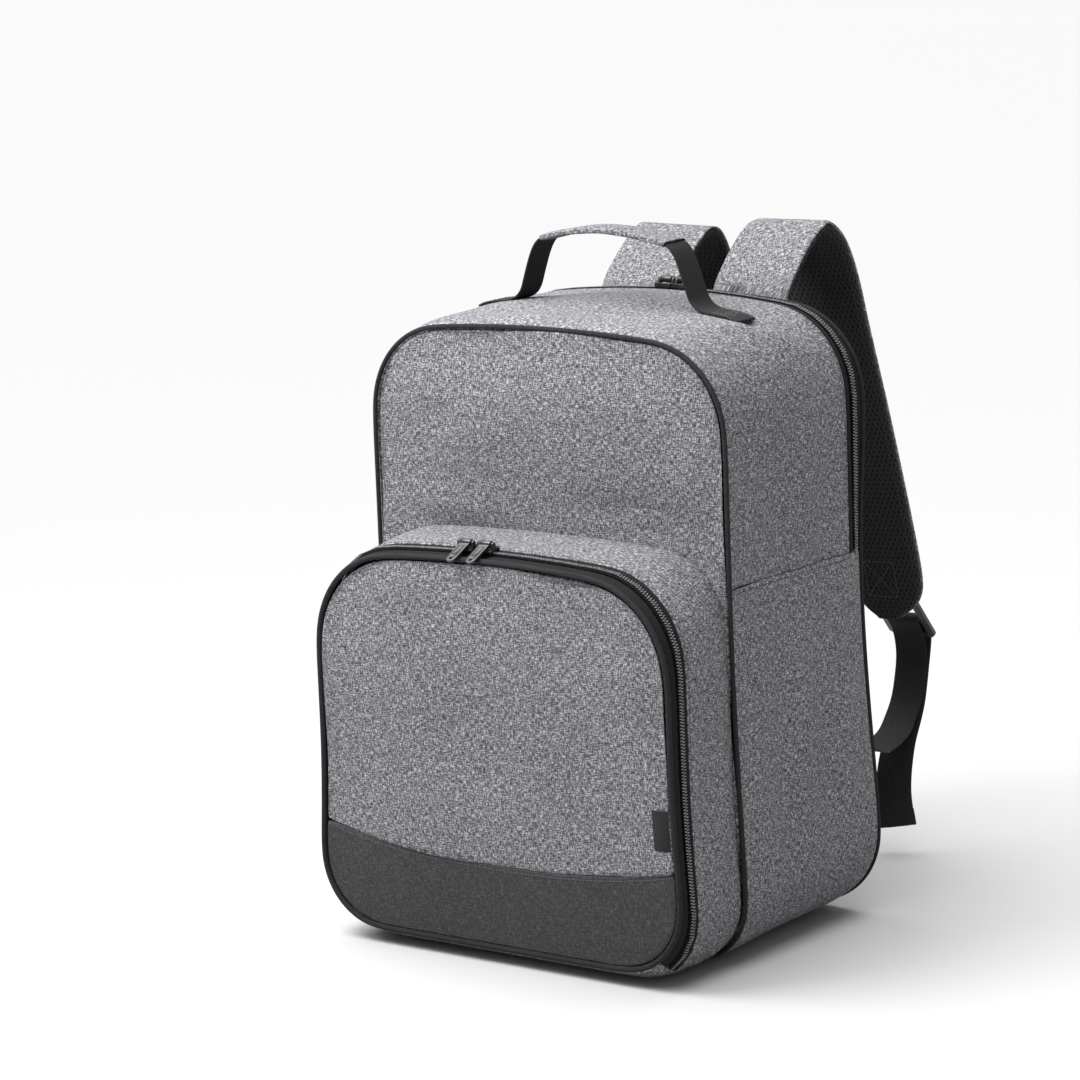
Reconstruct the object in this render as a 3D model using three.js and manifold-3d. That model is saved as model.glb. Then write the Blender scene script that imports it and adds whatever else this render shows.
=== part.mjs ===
import * as THREE from 'three';
import Module from 'manifold-3d';
import { mergeVertices } from 'three/addons/utils/BufferGeometryUtils.js';

// Cooler backpack, closed and standing on its base, in millimetres.
// The front faces -Y and up is +Z. The origin is on the floor under the middle of the main body.

const wasm = await Module();
wasm.setup();

// Main body
const bagHeight = 402;
const bagHalfWidth = 142;
const bagDepth = 155;
const wallThickness = 5;
const backPanelThickness = 8;
const highCornerRadius = 59;
const lowCornerRadius = 42;
const sideSeamHeight = 247;
const topCrown = 5;
const baseLift = 3;
const frontBulge = 4;

// Front pocket
const pocketHeight = 262;
const pocketDepth = 68;
const pocketWall = 3;
const pocketCornerRadius = 63;
const pocketLowCornerRadius = 46;
const pocketBackCornerRadius = 50;
const pocketBulge = 4;
const pocketBaseLift = 11;
const lowerPanelHeight = 67;
const lowerPanelRise = 12;

// Edges, zips and gaps
const clearance = 0.3;
const pipingRadius = 2.1;
const backPipingRadius = 2;
const tapeThickness = 1.2;
const tapeRecess = 0.4;
const chainThickness = 2.8;
const pocketFrontTape = 6;
const pocketChainWidth = 7;
const pocketRearTape = 3;
const rearTape = 4.5;
const rearChainWidth = 7;

// Zip sliders and pullers
const sliderLength = 13;
const sliderPlate = 1.6;
const sliderFlange = 1;
const postLength = 1.8;
const postWidth = 3.2;
const bailRadius = 0.9;
const bailHeight = 2.9;
const pullerLength = 21;
const pullerWidth = 7.5;
const pullerThickness = 1.8;
const eyeRadius = 2.3;
const pocketSliderPlaces = [-22, -6];
const rearSliderPlaces = [-6, 8];

// Carry handle
const webbingThickness = 1.6;
const handleWebbing = 22;
const gripLength = 102;
const gripWidth = 26;
const gripThickness = 4.6;
const handleRise = 46.5;
const handleDepth = 1;
const footInner = 72;
const footOuter = 105;

// Shoulder straps
const strapWidth = 60;
const strapCover = 1.5;
const strapPad = 6.5;
const strapReach = 140;
const rightStrapPlace = 51;
const leftStrapPlace = 41;
const leftStrapDroop = 6;
const strapSplay = 19;
const strapTipRadius = 30;
const adjusterWebbing = 25;

// Strap hardware
const lockWidth = 38;
const lockHeight = 38;
const lockLean = 30;
const lockAboveTip = 9;
const lockThickness = 3;
const lockBar = 3;
const lockTabLength = 26;
const anchorHeight = 120;
const anchorPatchHeight = 24;
const anchorPatchThickness = 2;
const anchorPatchMargin = 4;
const anchorEnd = 26;
const lockSlot = (lockHeight - 3 * lockBar) / 2;
const anchorPlace = 121;
const tailHeight = 18;
const tailTwist = 0.6;

// Label
const labelWidth = 12;
const labelHeight = 26;
const labelBottom = 93;
const labelThickness = 0.6;

const frontY = -bagDepth / 2;
const backY = bagDepth / 2;
const pocketY = frontY - pocketDepth;
const mainEdge = pipingRadius + clearance;
const backEdge = backPipingRadius + clearance;

// Outlines of the main body from front to back.
// depth is a share of bagDepth, belly, waist and shoulder of bagHalfWidth, top of bagHeight,
// lift of baseLift, crown of topCrown and low of lowCornerRadius.
const MAIN_ROWS = [
  { depth: 0.0, belly: 1.042, waist: 1.0, shoulder: 1.0, top: 1.0, lift: 1, crown: 0.6, low: 1.0 },
  { depth: 0.05, belly: 1.05, waist: 1.002, shoulder: 1.005, top: 1.008, lift: 0, crown: 0.8, low: 1.08 },
  { depth: 0.35, belly: 1.05, waist: 0.99, shoulder: 1.008, top: 1.016, lift: 0, crown: 1, low: 1.28 },
  { depth: 0.65, belly: 1.05, waist: 0.99, shoulder: 1.008, top: 1.016, lift: 0, crown: 1, low: 1.34 },
  { depth: 0.9, belly: 1.05, waist: 1.0, shoulder: 1.0, top: 1.018, lift: 0, crown: 0.9, low: 1.36 },
  { depth: 1.0, belly: 1.042, waist: 0.965, shoulder: 1.004, top: 1.012, lift: 1, crown: 0.8, low: 1.32 },
];

// Outlines of the front pocket from its front to where it meets the main body.
// depth is a share of pocketDepth, top of pocketHeight, lift of pocketBaseLift and radius
// runs from pocketCornerRadius at 0 to pocketBackCornerRadius at 1.
const POCKET_ROWS = [
  { depth: 0.0, belly: 1.028, waist: 0.997, shoulder: 0.997, top: 1.0, lift: 1, radius: 0, crown: 0.6 },
  { depth: 0.05, belly: 1.031, waist: 1.0, shoulder: 1.0, top: 1.005, lift: 0.82, radius: 0, crown: 0.6 },
  { depth: 0.2, belly: 1.037, waist: 1.006, shoulder: 1.006, top: 1.017, lift: 0.15, radius: 0.1, crown: 0.5 },
  { depth: 0.4, belly: 1.035, waist: 1.006, shoulder: 1.002, top: 1.026, lift: 0, radius: 0.3, crown: 0.4 },
  { depth: 0.85, belly: 1.03, waist: 1.003, shoulder: 0.988, top: 1.032, lift: 0, radius: 0.85, crown: 0.4 },
];

// Steps of one side of an outline: low corner, belly, waist and high corner.
const LOW_STEPS = 5;
const BELLY_STEPS = 4;
const WAIST_STEPS = 3;
const HIGH_STEPS = 6;
const ACROSS = [-1, -0.68, -0.34, 0, 0.34, 0.68, 1];
const SIDE_STEPS = LOW_STEPS + BELLY_STEPS + WAIST_STEPS + HIGH_STEPS;
const SEAM_LEVEL = LOW_STEPS + BELLY_STEPS;
const ZIP_END_LEVEL = 2;
const WAIST_EASE = 0.65;

// Route of a shoulder strap's outer face, from the back panel over its arch to the tip.
// reach is a share of strapReach behind the back, rise of bagHeight and out of strapSplay.
const ARCH_STEPS = 14;
const RUN_STEPS = 9;
const archShare = 0.45;
const STRAP_ROUTE = [
  { reach: 0.005, rise: 0.94, out: 0 },
  { reach: 0.007, rise: 0.975, out: 0 },
  { reach: 0.024, rise: 1.018, out: 0 },
  { reach: 0.14, rise: 1.067, out: 0 },
  { reach: 0.262, rise: 1.105, out: 0 },
  { reach: 0.39, rise: 1.13, out: 0.05 },
  { reach: 0.497, rise: 1.105, out: 0.12 },
  { reach: 0.585, rise: 1.045, out: 0.2 },
  { reach: 0.659, rise: 0.935, out: 0.38 },
  { reach: 0.751, rise: 0.813, out: 0.56 },
  { reach: 0.848, rise: 0.672, out: 0.75 },
  { reach: 0.942, rise: 0.528, out: 0.92 },
  { reach: 1.0, rise: 0.421, out: 1 },
];

const mix = (a, b, s) => a + (b - a) * s;
const ease = (s) => s * s * (3 - 2 * s);

// One side of an outline as levels from the floor to the top edge.
function levelsOf({ belly, waist, shoulder, floor, top, seam, low, high, crown }) {
  const levels = [];
  for (let i = 0; i <= LOW_STEPS; i++) {
    const angle = (i / LOW_STEPS) * (Math.PI / 2);
    levels.push({ w: belly - low + low * Math.sin(angle), z: floor + low - low * Math.cos(angle) });
  }
  for (let i = 1; i <= BELLY_STEPS; i++) {
    const s = i / BELLY_STEPS;
    levels.push({ w: mix(belly, waist, ease(s ** WAIST_EASE)), z: mix(floor + low, seam, s) });
  }
  for (let i = 1; i <= WAIST_STEPS; i++) {
    const s = i / WAIST_STEPS;
    levels.push({ w: mix(waist, shoulder, ease(s)), z: mix(seam, top - high, s) });
  }
  for (let i = 1; i <= HIGH_STEPS; i++) {
    const angle = (i / HIGH_STEPS) * (Math.PI / 2);
    levels.push({ w: shoulder - high + high * Math.cos(angle), z: top - high + high * Math.sin(angle) });
  }
  for (const level of levels) {
    const share = Math.max(0, (level.z - seam) / (top - seam));
    level.rise = crown * share * share;
  }
  return levels;
}

// The same outline moved inwards.
function inset(levels, distance) {
  const last = levels.length - 1;
  return levels.map((level, k) => {
    const before = levels[Math.max(0, k - 1)];
    const after = levels[Math.min(last, k + 1)];
    let nw = after.z - before.z;
    let nz = before.w - after.w;
    if (k === 0) [nw, nz] = [0, -1];
    if (k === last) [nw, nz] = [0, 1];
    const length = Math.hypot(nw, nz);
    return {
      w: level.w - (nw / length) * distance,
      z: level.z - (nz / length) * distance,
      rise: level.rise,
    };
  });
}

// The outline between two rows of a table.
function levelsBetween(table, share) {
  let k = 0;
  while (k < table.length - 2 && table[k + 1].depth < share) k++;
  const s = (share - table[k].depth) / (table[k + 1].depth - table[k].depth);
  return table[k].levels.map((a, i) => {
    const b = table[k + 1].levels[i];
    return { w: mix(a.w, b.w, s), z: mix(a.z, b.z, s), rise: mix(a.rise, b.rise, s) };
  });
}

// Half the width of an outline at a height.
function halfAt(levels, z) {
  let k = 0;
  while (k < levels.length - 2 && levels[k + 1].z < z) k++;
  return mix(levels[k].w, levels[k + 1].w, (z - levels[k].z) / (levels[k + 1].z - levels[k].z));
}

const pointOn = (level, t) => ({ x: t * level.w, z: level.z + level.rise * (1 - t * t) });

// A whole outline as points: base from left to right, right side up, top, left side down.
function ringOf(levels) {
  const top = levels.length - 1;
  const points = ACROSS.map((t) => pointOn(levels[0], t));
  for (let k = 1; k < top; k++) points.push(pointOn(levels[k], 1));
  for (const t of [...ACROSS].reverse()) points.push(pointOn(levels[top], t));
  for (let k = top - 1; k > 0; k--) points.push(pointOn(levels[k], -1));
  return points;
}

const RING_COUNT = 2 * (ACROSS.length + SIDE_STEPS - 1);
const rightIndex = (level) => ACROSS.length - 1 + level;
const leftIndex = (level) => RING_COUNT - level;
const over = (level) => range(rightIndex(level), leftIndex(level));
const under = (level) => range(leftIndex(level), RING_COUNT + rightIndex(level));

function range(first, last) {
  return Array.from({ length: last - first + 1 }, (_, i) => (first + i) % RING_COUNT);
}

const mainTable = MAIN_ROWS.map((row) => ({
  depth: row.depth,
  levels: levelsOf({
    belly: row.belly * bagHalfWidth,
    waist: row.waist * bagHalfWidth,
    shoulder: row.shoulder * bagHalfWidth,
    floor: row.lift * baseLift,
    top: row.top * bagHeight,
    seam: sideSeamHeight,
    low: row.low * lowCornerRadius,
    high: highCornerRadius,
    crown: row.crown * topCrown,
  }),
}));

const pocketSeam = pocketHeight * 0.56;
const pocketTable = POCKET_ROWS.map((row) => ({
  depth: row.depth,
  levels: levelsOf({
    belly: row.belly * bagHalfWidth,
    waist: row.waist * bagHalfWidth,
    shoulder: row.shoulder * bagHalfWidth,
    floor: row.lift * pocketBaseLift,
    top: row.top * pocketHeight,
    seam: pocketSeam,
    low: pocketLowCornerRadius,
    high: mix(pocketCornerRadius, pocketBackCornerRadius, row.radius),
    crown: row.crown * topCrown,
  }),
}));

// The pocket's last outline lies just inside the piping of the main body.
const pocketMargin = pipingRadius + 3 * clearance;
const mainFront = mainTable[0].levels;
const pocketTop = pocketHeight * POCKET_ROWS.at(-1).top;
pocketTable.push({
  depth: 1,
  levels: levelsOf({
    belly: mainFront[LOW_STEPS].w - pocketMargin,
    waist: halfAt(mainFront, pocketSeam) - pocketMargin,
    shoulder: halfAt(mainFront, pocketTop - pocketBackCornerRadius) - pocketMargin,
    floor: baseLift + pocketMargin,
    top: pocketTop,
    seam: pocketSeam,
    low: lowCornerRadius - pocketMargin,
    high: pocketBackCornerRadius,
    crown: 0.4 * topCrown,
  }),
});

const mainLevels = (y) => levelsBetween(mainTable, (y - frontY) / bagDepth);
const pocketLevels = (y) => levelsBetween(pocketTable, (y - pocketY) / pocketDepth);

// Height of an outline's top edge above the floor.
function topHeight(levels, x) {
  const top = levels.at(-1);
  return top.z + top.rise * (1 - (x / top.w) ** 2);
}

// A closed body from triangles, turned so that its faces point out.
function bodyFrom(points, faces) {
  let volume = 0;
  for (const [a, b, c] of faces) volume += points[a].dot(new THREE.Vector3().crossVectors(points[b], points[c]));
  const turned = volume < 0 ? faces.map(([a, b, c]) => [a, c, b]) : faces;
  const geometry = new THREE.BufferGeometry();
  geometry.setAttribute('position', new THREE.Float32BufferAttribute(points.flatMap((p) => p.toArray()), 3));
  geometry.setIndex(turned.flat());
  return geometry;
}

// A closed body between an outer and an inner grid of points.
function slab(outer, inner) {
  const rows = outer.length;
  const columns = outer[0].length;
  const points = [...outer.flat(), ...inner.flat()];
  const at = (side, i, j) => side * rows * columns + i * columns + j;
  const faces = [];
  const quad = (a, b, c, d) => faces.push([a, b, c], [a, c, d]);
  for (let i = 0; i < rows - 1; i++) {
    for (let j = 0; j < columns - 1; j++) {
      quad(at(0, i, j), at(0, i, j + 1), at(0, i + 1, j + 1), at(0, i + 1, j));
      quad(at(1, i, j), at(1, i + 1, j), at(1, i + 1, j + 1), at(1, i, j + 1));
    }
    quad(at(0, i, 0), at(0, i + 1, 0), at(1, i + 1, 0), at(1, i, 0));
    quad(at(0, i + 1, columns - 1), at(0, i, columns - 1), at(1, i, columns - 1), at(1, i + 1, columns - 1));
  }
  for (let j = 0; j < columns - 1; j++) {
    quad(at(0, 0, j + 1), at(0, 0, j), at(1, 0, j), at(1, 0, j + 1));
    quad(at(0, rows - 1, j), at(0, rows - 1, j + 1), at(1, rows - 1, j + 1), at(1, rows - 1, j));
  }
  return bodyFrom(points, faces);
}

// A closed body between rings of points that all run round the same way, the last one joined to the first.
function hoop(rings) {
  const count = rings[0].length;
  const points = rings.flat();
  const faces = [];
  rings.forEach((ring, i) => {
    const next = (i + 1) % rings.length;
    for (let j = 0; j < count; j++) {
      const k = (j + 1) % count;
      faces.push([i * count + j, next * count + j, next * count + k]);
      faces.push([i * count + j, next * count + k, i * count + k]);
    }
  });
  return bodyFrom(points, faces);
}

// Wall of cloth that follows the outlines from one depth to another.
// Each column has the depth of its outer face and, where it is mitred, of its inner face.
function band(levelsAt, columns, indices, outer, thickness) {
  const face = (offset, depthOf) => {
    const rings = columns.map((column) => ringOf(inset(levelsAt(depthOf(column)), offset)));
    return indices.map((index, i) => columns.map((column, j) => {
      const point = rings[j][index];
      let { x, z } = point;
      const end = i === 0 ? indices[1] : i === indices.length - 1 ? indices[i - 1] : null;
      if (end !== null) {
        const towards = rings[j][end];
        const length = Math.hypot(towards.x - x, towards.z - z);
        x += ((towards.x - x) / length) * clearance * 0.6;
        z += ((towards.z - z) / length) * clearance * 0.6;
      }
      return new THREE.Vector3(x, depthOf(column), z);
    }));
  };
  return slab(face(outer, (c) => c.y), face(outer + thickness, (c) => c.back ?? c.y));
}

// Cord sewn along an outline.
function piping(levels, y, radius, sides) {
  const ring = ringOf(levels);
  return hoop(ring.map((point, i) => {
    const before = ring[(i + ring.length - 1) % ring.length];
    const after = ring[(i + 1) % ring.length];
    const length = Math.hypot(after.x - before.x, after.z - before.z);
    const nx = (after.z - before.z) / length;
    const nz = (before.x - after.x) / length;
    return Array.from({ length: sides }, (_, k) => {
      const angle = (k / sides) * 2 * Math.PI;
      const outwards = radius * Math.cos(angle);
      return new THREE.Vector3(point.x + nx * outwards, y + radius * Math.sin(angle), point.z + nz * outwards);
    });
  }));
}

// Sewn panel with mitred edges. facing is -1 for a front panel and 1 for a back one.
// bulgeAt gives how far its middle stands out.
function panel(levels, y, facing, edge, thickness, bulgeAt) {
  const face = (offset, depth) => inset(levels, offset).map((level) => ACROSS.map((t) => {
    const { x, z } = pointOn(level, t);
    return new THREE.Vector3(x, y + facing * (bulgeAt(t, z) - depth), z);
  }));
  return slab(face(edge, 0), face(edge + thickness, thickness));
}

// Part of a panel above or below a seam that runs across it.
function panelPart(levels, y, edge, thickness, bulgeAt, seamAt, above) {
  const face = (offset, depth) => {
    const edgeLevels = inset(levels, offset);
    const margin = above ? clearance / 2 : -clearance / 2;
    const highest = seamAt(1);
    const kept = edgeLevels.filter((level) => (above ? level.z > highest + thickness : level.z < lowerPanelHeight - thickness));
    const rows = kept.map((level) => ACROSS.map((t) => pointOn(level, t)));
    const seam = ACROSS.map((t) => {
      const z = seamAt(t) + margin;
      return { x: t * halfAt(edgeLevels, z), z };
    });
    if (above) rows.unshift(seam);
    else rows.push(seam);
    return rows.map((row) => row.map(({ x, z }, j) => new THREE.Vector3(x, y - bulgeAt(ACROSS[j], z) + depth, z)));
  };
  return slab(face(edge, 0), face(edge + thickness, thickness));
}

// Strip of cloth along a route of stations, between two heights over the route.
function ribbon(stations, half, from, to, columns = [-1, 1], pinch = () => 1) {
  const grid = (height) => stations.map(({ point, across, out }, i) => columns.map((c) => (
    point.clone().addScaledVector(across, c * half(i)).addScaledVector(out, height(c)))));
  return slab(grid(() => from), grid((c) => mix(from, to, pinch(c))));
}

const evenShares = (steps, last = 1) => Array.from({ length: steps + 1 }, (_, i) => (i / steps) * last);

// A place on a route with its directions across and out.
function stationAt(point, along, sideways) {
  const across = sideways.clone().addScaledVector(along, -sideways.dot(along)).normalize();
  return { point, across, out: new THREE.Vector3().crossVectors(across, along) };
}

// Stations along a smooth route at shares of its length.
function stationsOn(curve, shares, sideways) {
  return shares.map((share) => stationAt(curve.getPointAt(share), curve.getTangentAt(share), sideways));
}

// The same body on the other side of the bag.
function mirrored(geometry) {
  const copy = geometry.clone();
  const position = copy.getAttribute('position');
  for (let i = 0; i < position.count; i++) position.setX(i, -position.getX(i));
  const index = copy.index ? copy.index.array : Array.from({ length: position.count }, (_, i) => i);
  const turned = [];
  for (let i = 0; i < index.length; i += 3) turned.push(index[i], index[i + 2], index[i + 1]);
  copy.setIndex(turned);
  return copy;
}

// Solids for joins and cuts
function solidOf(geometry) {
  const plain = geometry.clone();
  plain.deleteAttribute('normal');
  plain.deleteAttribute('uv');
  const merged = mergeVertices(plain, 1e-4);
  return new wasm.Manifold(new wasm.Mesh({
    numProp: 3,
    vertProperties: new Float32Array(merged.getAttribute('position').array),
    triVerts: new Uint32Array(merged.index.array),
  }));
}

function geometryOf(solid) {
  const { vertProperties, triVerts } = solid.getMesh();
  const geometry = new THREE.BufferGeometry();
  geometry.setAttribute('position', new THREE.Float32BufferAttribute(vertProperties, 3));
  geometry.setIndex(Array.from(triVerts));
  return geometry;
}

const block = (x, y, z, cx, cy, cz) => new THREE.BoxGeometry(x, y, z).translate(cx, cy, cz);
const rod = (radius, length, sides) => new THREE.CylinderGeometry(radius, radius, length, sides).rotateZ(Math.PI / 2);

const colours = {
  heather: new THREE.MeshStandardMaterial({ color: 0x85868a, roughness: 0.95, metalness: 0 }),
  dark: new THREE.MeshStandardMaterial({ color: 0x464648, roughness: 0.95, metalness: 0 }),
  webbing: new THREE.MeshStandardMaterial({ color: 0x1f1f20, roughness: 0.9, metalness: 0 }),
  mesh: new THREE.MeshStandardMaterial({ color: 0x1a1a1b, roughness: 1, metalness: 0 }),
  tape: new THREE.MeshStandardMaterial({ color: 0x262627, roughness: 0.9, metalness: 0 }),
  chain: new THREE.MeshStandardMaterial({ color: 0x1c1c1e, roughness: 0.5, metalness: 0 }),
  slider: new THREE.MeshStandardMaterial({ color: 0x18181a, roughness: 0.4, metalness: 0.6 }),
  plastic: new THREE.MeshStandardMaterial({ color: 0x3f4042, roughness: 0.55, metalness: 0 }),
};

const bag = new THREE.Group();

function add(name, geometry, material) {
  const mesh = new THREE.Mesh(geometry, material.clone());
  mesh.name = name;
  bag.add(mesh);
  return mesh;
}

// Depths of the rear zip, counted from the back.
const rearZipEnd = backY - backEdge;
const rearChainEnd = rearZipEnd - rearTape;
const rearChainStart = rearChainEnd - rearChainWidth;
const rearZipStart = rearChainStart - rearTape;

// Main body
function mainBody() {
  const mitre = Math.max(mainEdge, wallThickness - mainEdge + 2 * clearance);
  const backMitre = Math.max(backEdge, wallThickness - backEdge + 2 * clearance);
  const rowDepth = (row) => ({ y: frontY + MAIN_ROWS[row].depth * bagDepth });
  const frontColumn = { y: frontY + mainEdge, back: frontY + mitre };
  const backColumn = { y: backY - backEdge, back: backY - backMitre };
  const middle = [1, 2, 3].map(rowDepth);
  const upper = [frontColumn, ...middle, { y: rearZipStart - clearance }];
  const lower = [frontColumn, ...middle, rowDepth(4), backColumn];
  const bulge = (t, z) => {
    const low = pocketTop + 2 * wallThickness;
    const share = Math.min(1, Math.max(0, (z - low) / (bagHeight - low)));
    return frontBulge * (1 - t ** 4) * Math.sin(Math.PI * share) ** 2;
  };
  add('main_front_panel', panel(mainFront, frontY, -1, mainEdge, wallThickness, bulge), colours.heather);
  add('main_upper_gusset', band(mainLevels, upper, over(SEAM_LEVEL), 0, wallThickness), colours.heather);
  add('main_lower_gusset', band(mainLevels, lower, under(SEAM_LEVEL), 0, wallThickness), colours.heather);
  const back = mainTable.at(-1).levels;
  add('main_back_panel', panel(back, backY, 1, backEdge, backPanelThickness, () => 0), colours.webbing);
  add('main_front_piping', piping(mainFront, frontY, pipingRadius, 6), colours.dark);
  add('main_back_piping', piping(back, backY, backPipingRadius, 5), colours.webbing);
}

// Two tapes with a chain between them. name is the first word of each node.
function zip(name, levelsAt, depths, indices) {
  const [start, chainStart, chainEnd, end] = depths;
  const strip = (a, b, outer, thickness) => band(levelsAt, [{ y: a }, { y: b }], indices, outer, thickness);
  const chainRise = tapeRecess + tapeThickness - chainThickness;
  add(`${name}_zip_front_tape`, strip(start, chainStart, tapeRecess, tapeThickness), colours.tape);
  add(`${name}_zip_rear_tape`, strip(chainEnd, end, tapeRecess, tapeThickness), colours.tape);
  const chain = strip(chainStart + clearance, chainEnd - clearance, chainRise, chainThickness);
  add(`${name}_zip_chain`, chain, colours.chain);
}

// Depths of the pocket's zip, counted from its front.
const pocketZipStart = pocketY + mainEdge;
const pocketChainStart = pocketZipStart + pocketFrontTape;
const pocketChainEnd = pocketChainStart + pocketChainWidth;
const pocketZipEnd = pocketChainEnd + pocketRearTape;

// Height of the seam over the dark lower panel.
const seamAt = (t) => lowerPanelHeight + lowerPanelRise * Math.abs(t) ** 2.5;

function pocketBulgeAt(t, z) {
  const low = pocketBaseLift;
  const share = Math.min(1, Math.max(0, (z - low) / (pocketHeight - low)));
  return pocketBulge * (1 - t ** 4) * (1 - Math.abs(2 * share - 1) ** 3);
}

function frontPocket() {
  const front = pocketTable[0].levels;
  const mitre = Math.max(mainEdge, pocketWall - mainEdge + 2 * clearance);
  const pocketBack = frontY - clearance;
  const rowDepth = (row) => ({ y: pocketY + POCKET_ROWS[row].depth * pocketDepth });
  const gusset = [{ y: pocketZipEnd + clearance }, rowDepth(3), rowDepth(4), { y: pocketBack }];
  const base = [{ y: pocketZipStart, back: pocketY + mitre }, rowDepth(2), rowDepth(3), rowDepth(4), { y: pocketBack }];
  const parts = [front, pocketY, mainEdge, pocketWall, pocketBulgeAt, seamAt];
  add('pocket_gusset', band(pocketLevels, gusset, over(ZIP_END_LEVEL), 0, pocketWall), colours.heather);
  add('pocket_base', band(pocketLevels, base, under(ZIP_END_LEVEL), 0, pocketWall), colours.heather);
  add('pocket_front_panel', panelPart(...parts, true), colours.heather);
  add('pocket_lower_panel', panelPart(...parts, false), colours.dark);
  add('pocket_piping', piping(front, pocketY, pipingRadius, 6), colours.dark);
}

// Blank label that lies on the panel's flat stretch beside its right edge.
function label() {
  const front = pocketTable[0].levels;
  const lastFold = ACROSS.at(-2);
  const rows = [0, 0.5, 1].map((s) => labelBottom + s * labelHeight);
  const face = (lift) => rows.map((z) => [0, 1].map((s) => {
    const half = halfAt(front, z) - mainEdge;
    const x = half - 2 * clearance - (1 - s) * labelWidth;
    const bulge = (pocketBulgeAt(lastFold, z) * (1 - x / half)) / (1 - lastFold);
    return new THREE.Vector3(x, pocketY - bulge - lift, z);
  }));
  add('blank_label', slab(face(clearance + labelThickness), face(clearance)), colours.webbing);
}

// Zip slider: plate over the chain, two flanges and a bail on two posts.
// Its origin is on the outline under its middle and the chain runs along X.
const chainTop = chainThickness - tapeRecess - tapeThickness;
const plateTop = chainTop + clearance + sliderPlate;
const bailZ = plateTop + bailHeight;

function sliderSolid(chainWidth) {
  const half = chainWidth / 2 + clearance + sliderFlange;
  const plateZ = plateTop - sliderPlate / 2;
  const flangeBottom = clearance - tapeRecess;
  const flangeHeight = plateZ - flangeBottom;
  const postX = (sliderLength - postLength) / 2;
  const postHeight = bailZ - plateZ;
  let solid = solidOf(block(sliderLength, 2 * half, sliderPlate, 0, 0, plateZ));
  for (const side of [-1, 1]) {
    const flangeY = side * (half - sliderFlange / 2);
    const flange = block(sliderLength, sliderFlange, flangeHeight, 0, flangeY, flangeBottom + flangeHeight / 2);
    const post = block(postLength, postWidth, postHeight, side * postX, 0, plateZ + postHeight / 2);
    solid = solid.add(solidOf(flange)).add(solidOf(post));
  }
  solid = solid.add(solidOf(rod(bailRadius, sliderLength, 12).translate(0, 0, bailZ)));
  for (const side of [-1, 1]) {
    const head = rod(postWidth / 2, postLength, 12).translate(side * postX, 0, bailZ);
    solid = solid.add(solidOf(head));
  }
  return solid;
}

// Puller: an eye round the bail and a flat tongue with a recess and an end hole.
// Its origin is on the bail's axis and its tongue points to -Y.
function pullerSolid() {
  const eyeWidth = sliderLength - 2 * postLength - 2 * clearance;
  const tongue = new THREE.Shape();
  const half = pullerWidth / 2;
  const end = pullerLength - half;
  tongue.moveTo(-half, 0);
  tongue.lineTo(half, 0);
  tongue.lineTo(half, -end);
  tongue.absarc(0, -end, half, 0, -Math.PI, true);
  tongue.lineTo(-half, 0);
  const plate = new THREE.ExtrudeGeometry(tongue, { depth: pullerThickness, bevelEnabled: false, curveSegments: 5 });
  plate.translate(0, 0, -pullerThickness / 2);
  const hole = new THREE.CylinderGeometry(1.3, 1.3, 2 * pullerThickness, 10).rotateX(Math.PI / 2);
  hole.translate(0, -end - 0.6, 0);
  const recessLength = end - 2 * eyeRadius - 3;
  const recessY = -(2 * eyeRadius + recessLength / 2);
  const recess = block(pullerWidth - 3, recessLength, pullerThickness / 2, 0, recessY, pullerThickness / 2);
  return solidOf(plate)
    .add(solidOf(rod(eyeRadius, eyeWidth, 14)))
    .subtract(solidOf(rod(bailRadius + clearance, 2 * eyeWidth, 14)))
    .subtract(solidOf(hole))
    .subtract(solidOf(recess));
}

// Sliders of one zip with their pullers lying over the near edge. facing is -1 for the front.
function sliders(name, levelsAt, chainStart, chainEnd, edgeY, edgeRadius, facing, places) {
  const y = (chainStart + chainEnd) / 2;
  const slider = geometryOf(sliderSolid(chainEnd - chainStart));
  const puller = geometryOf(pullerSolid());
  if (facing > 0) puller.rotateZ(Math.PI);
  places.forEach((x, i) => {
    const low = topHeight(levelsAt(chainStart), x);
    const high = topHeight(levelsAt(chainEnd), x);
    const tilt = Math.atan2(high - low, chainEnd - chainStart);
    const base = (low + high) / 2;
    const body = add(`${name}_slider_${i + 1}`, slider, colours.slider);
    body.position.set(x, y, base);
    body.rotation.x = tilt;
    const pivotY = y - bailZ * Math.sin(tilt);
    const pivotZ = base + bailZ * Math.cos(tilt);
    const run = Math.abs(edgeY - pivotY);
    const drop = pivotZ - topHeight(levelsAt(edgeY), x);
    const reach = edgeRadius + pullerThickness / 2 + 2 * clearance;
    const pitch = Math.atan2(drop, run) - Math.asin(reach / Math.hypot(run, drop));
    const tongue = add(`${name}_puller_${i + 1}`, puller, colours.slider);
    tongue.position.set(x, pivotY, pivotZ);
    tongue.rotation.x = -facing * pitch;
  });
}

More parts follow.
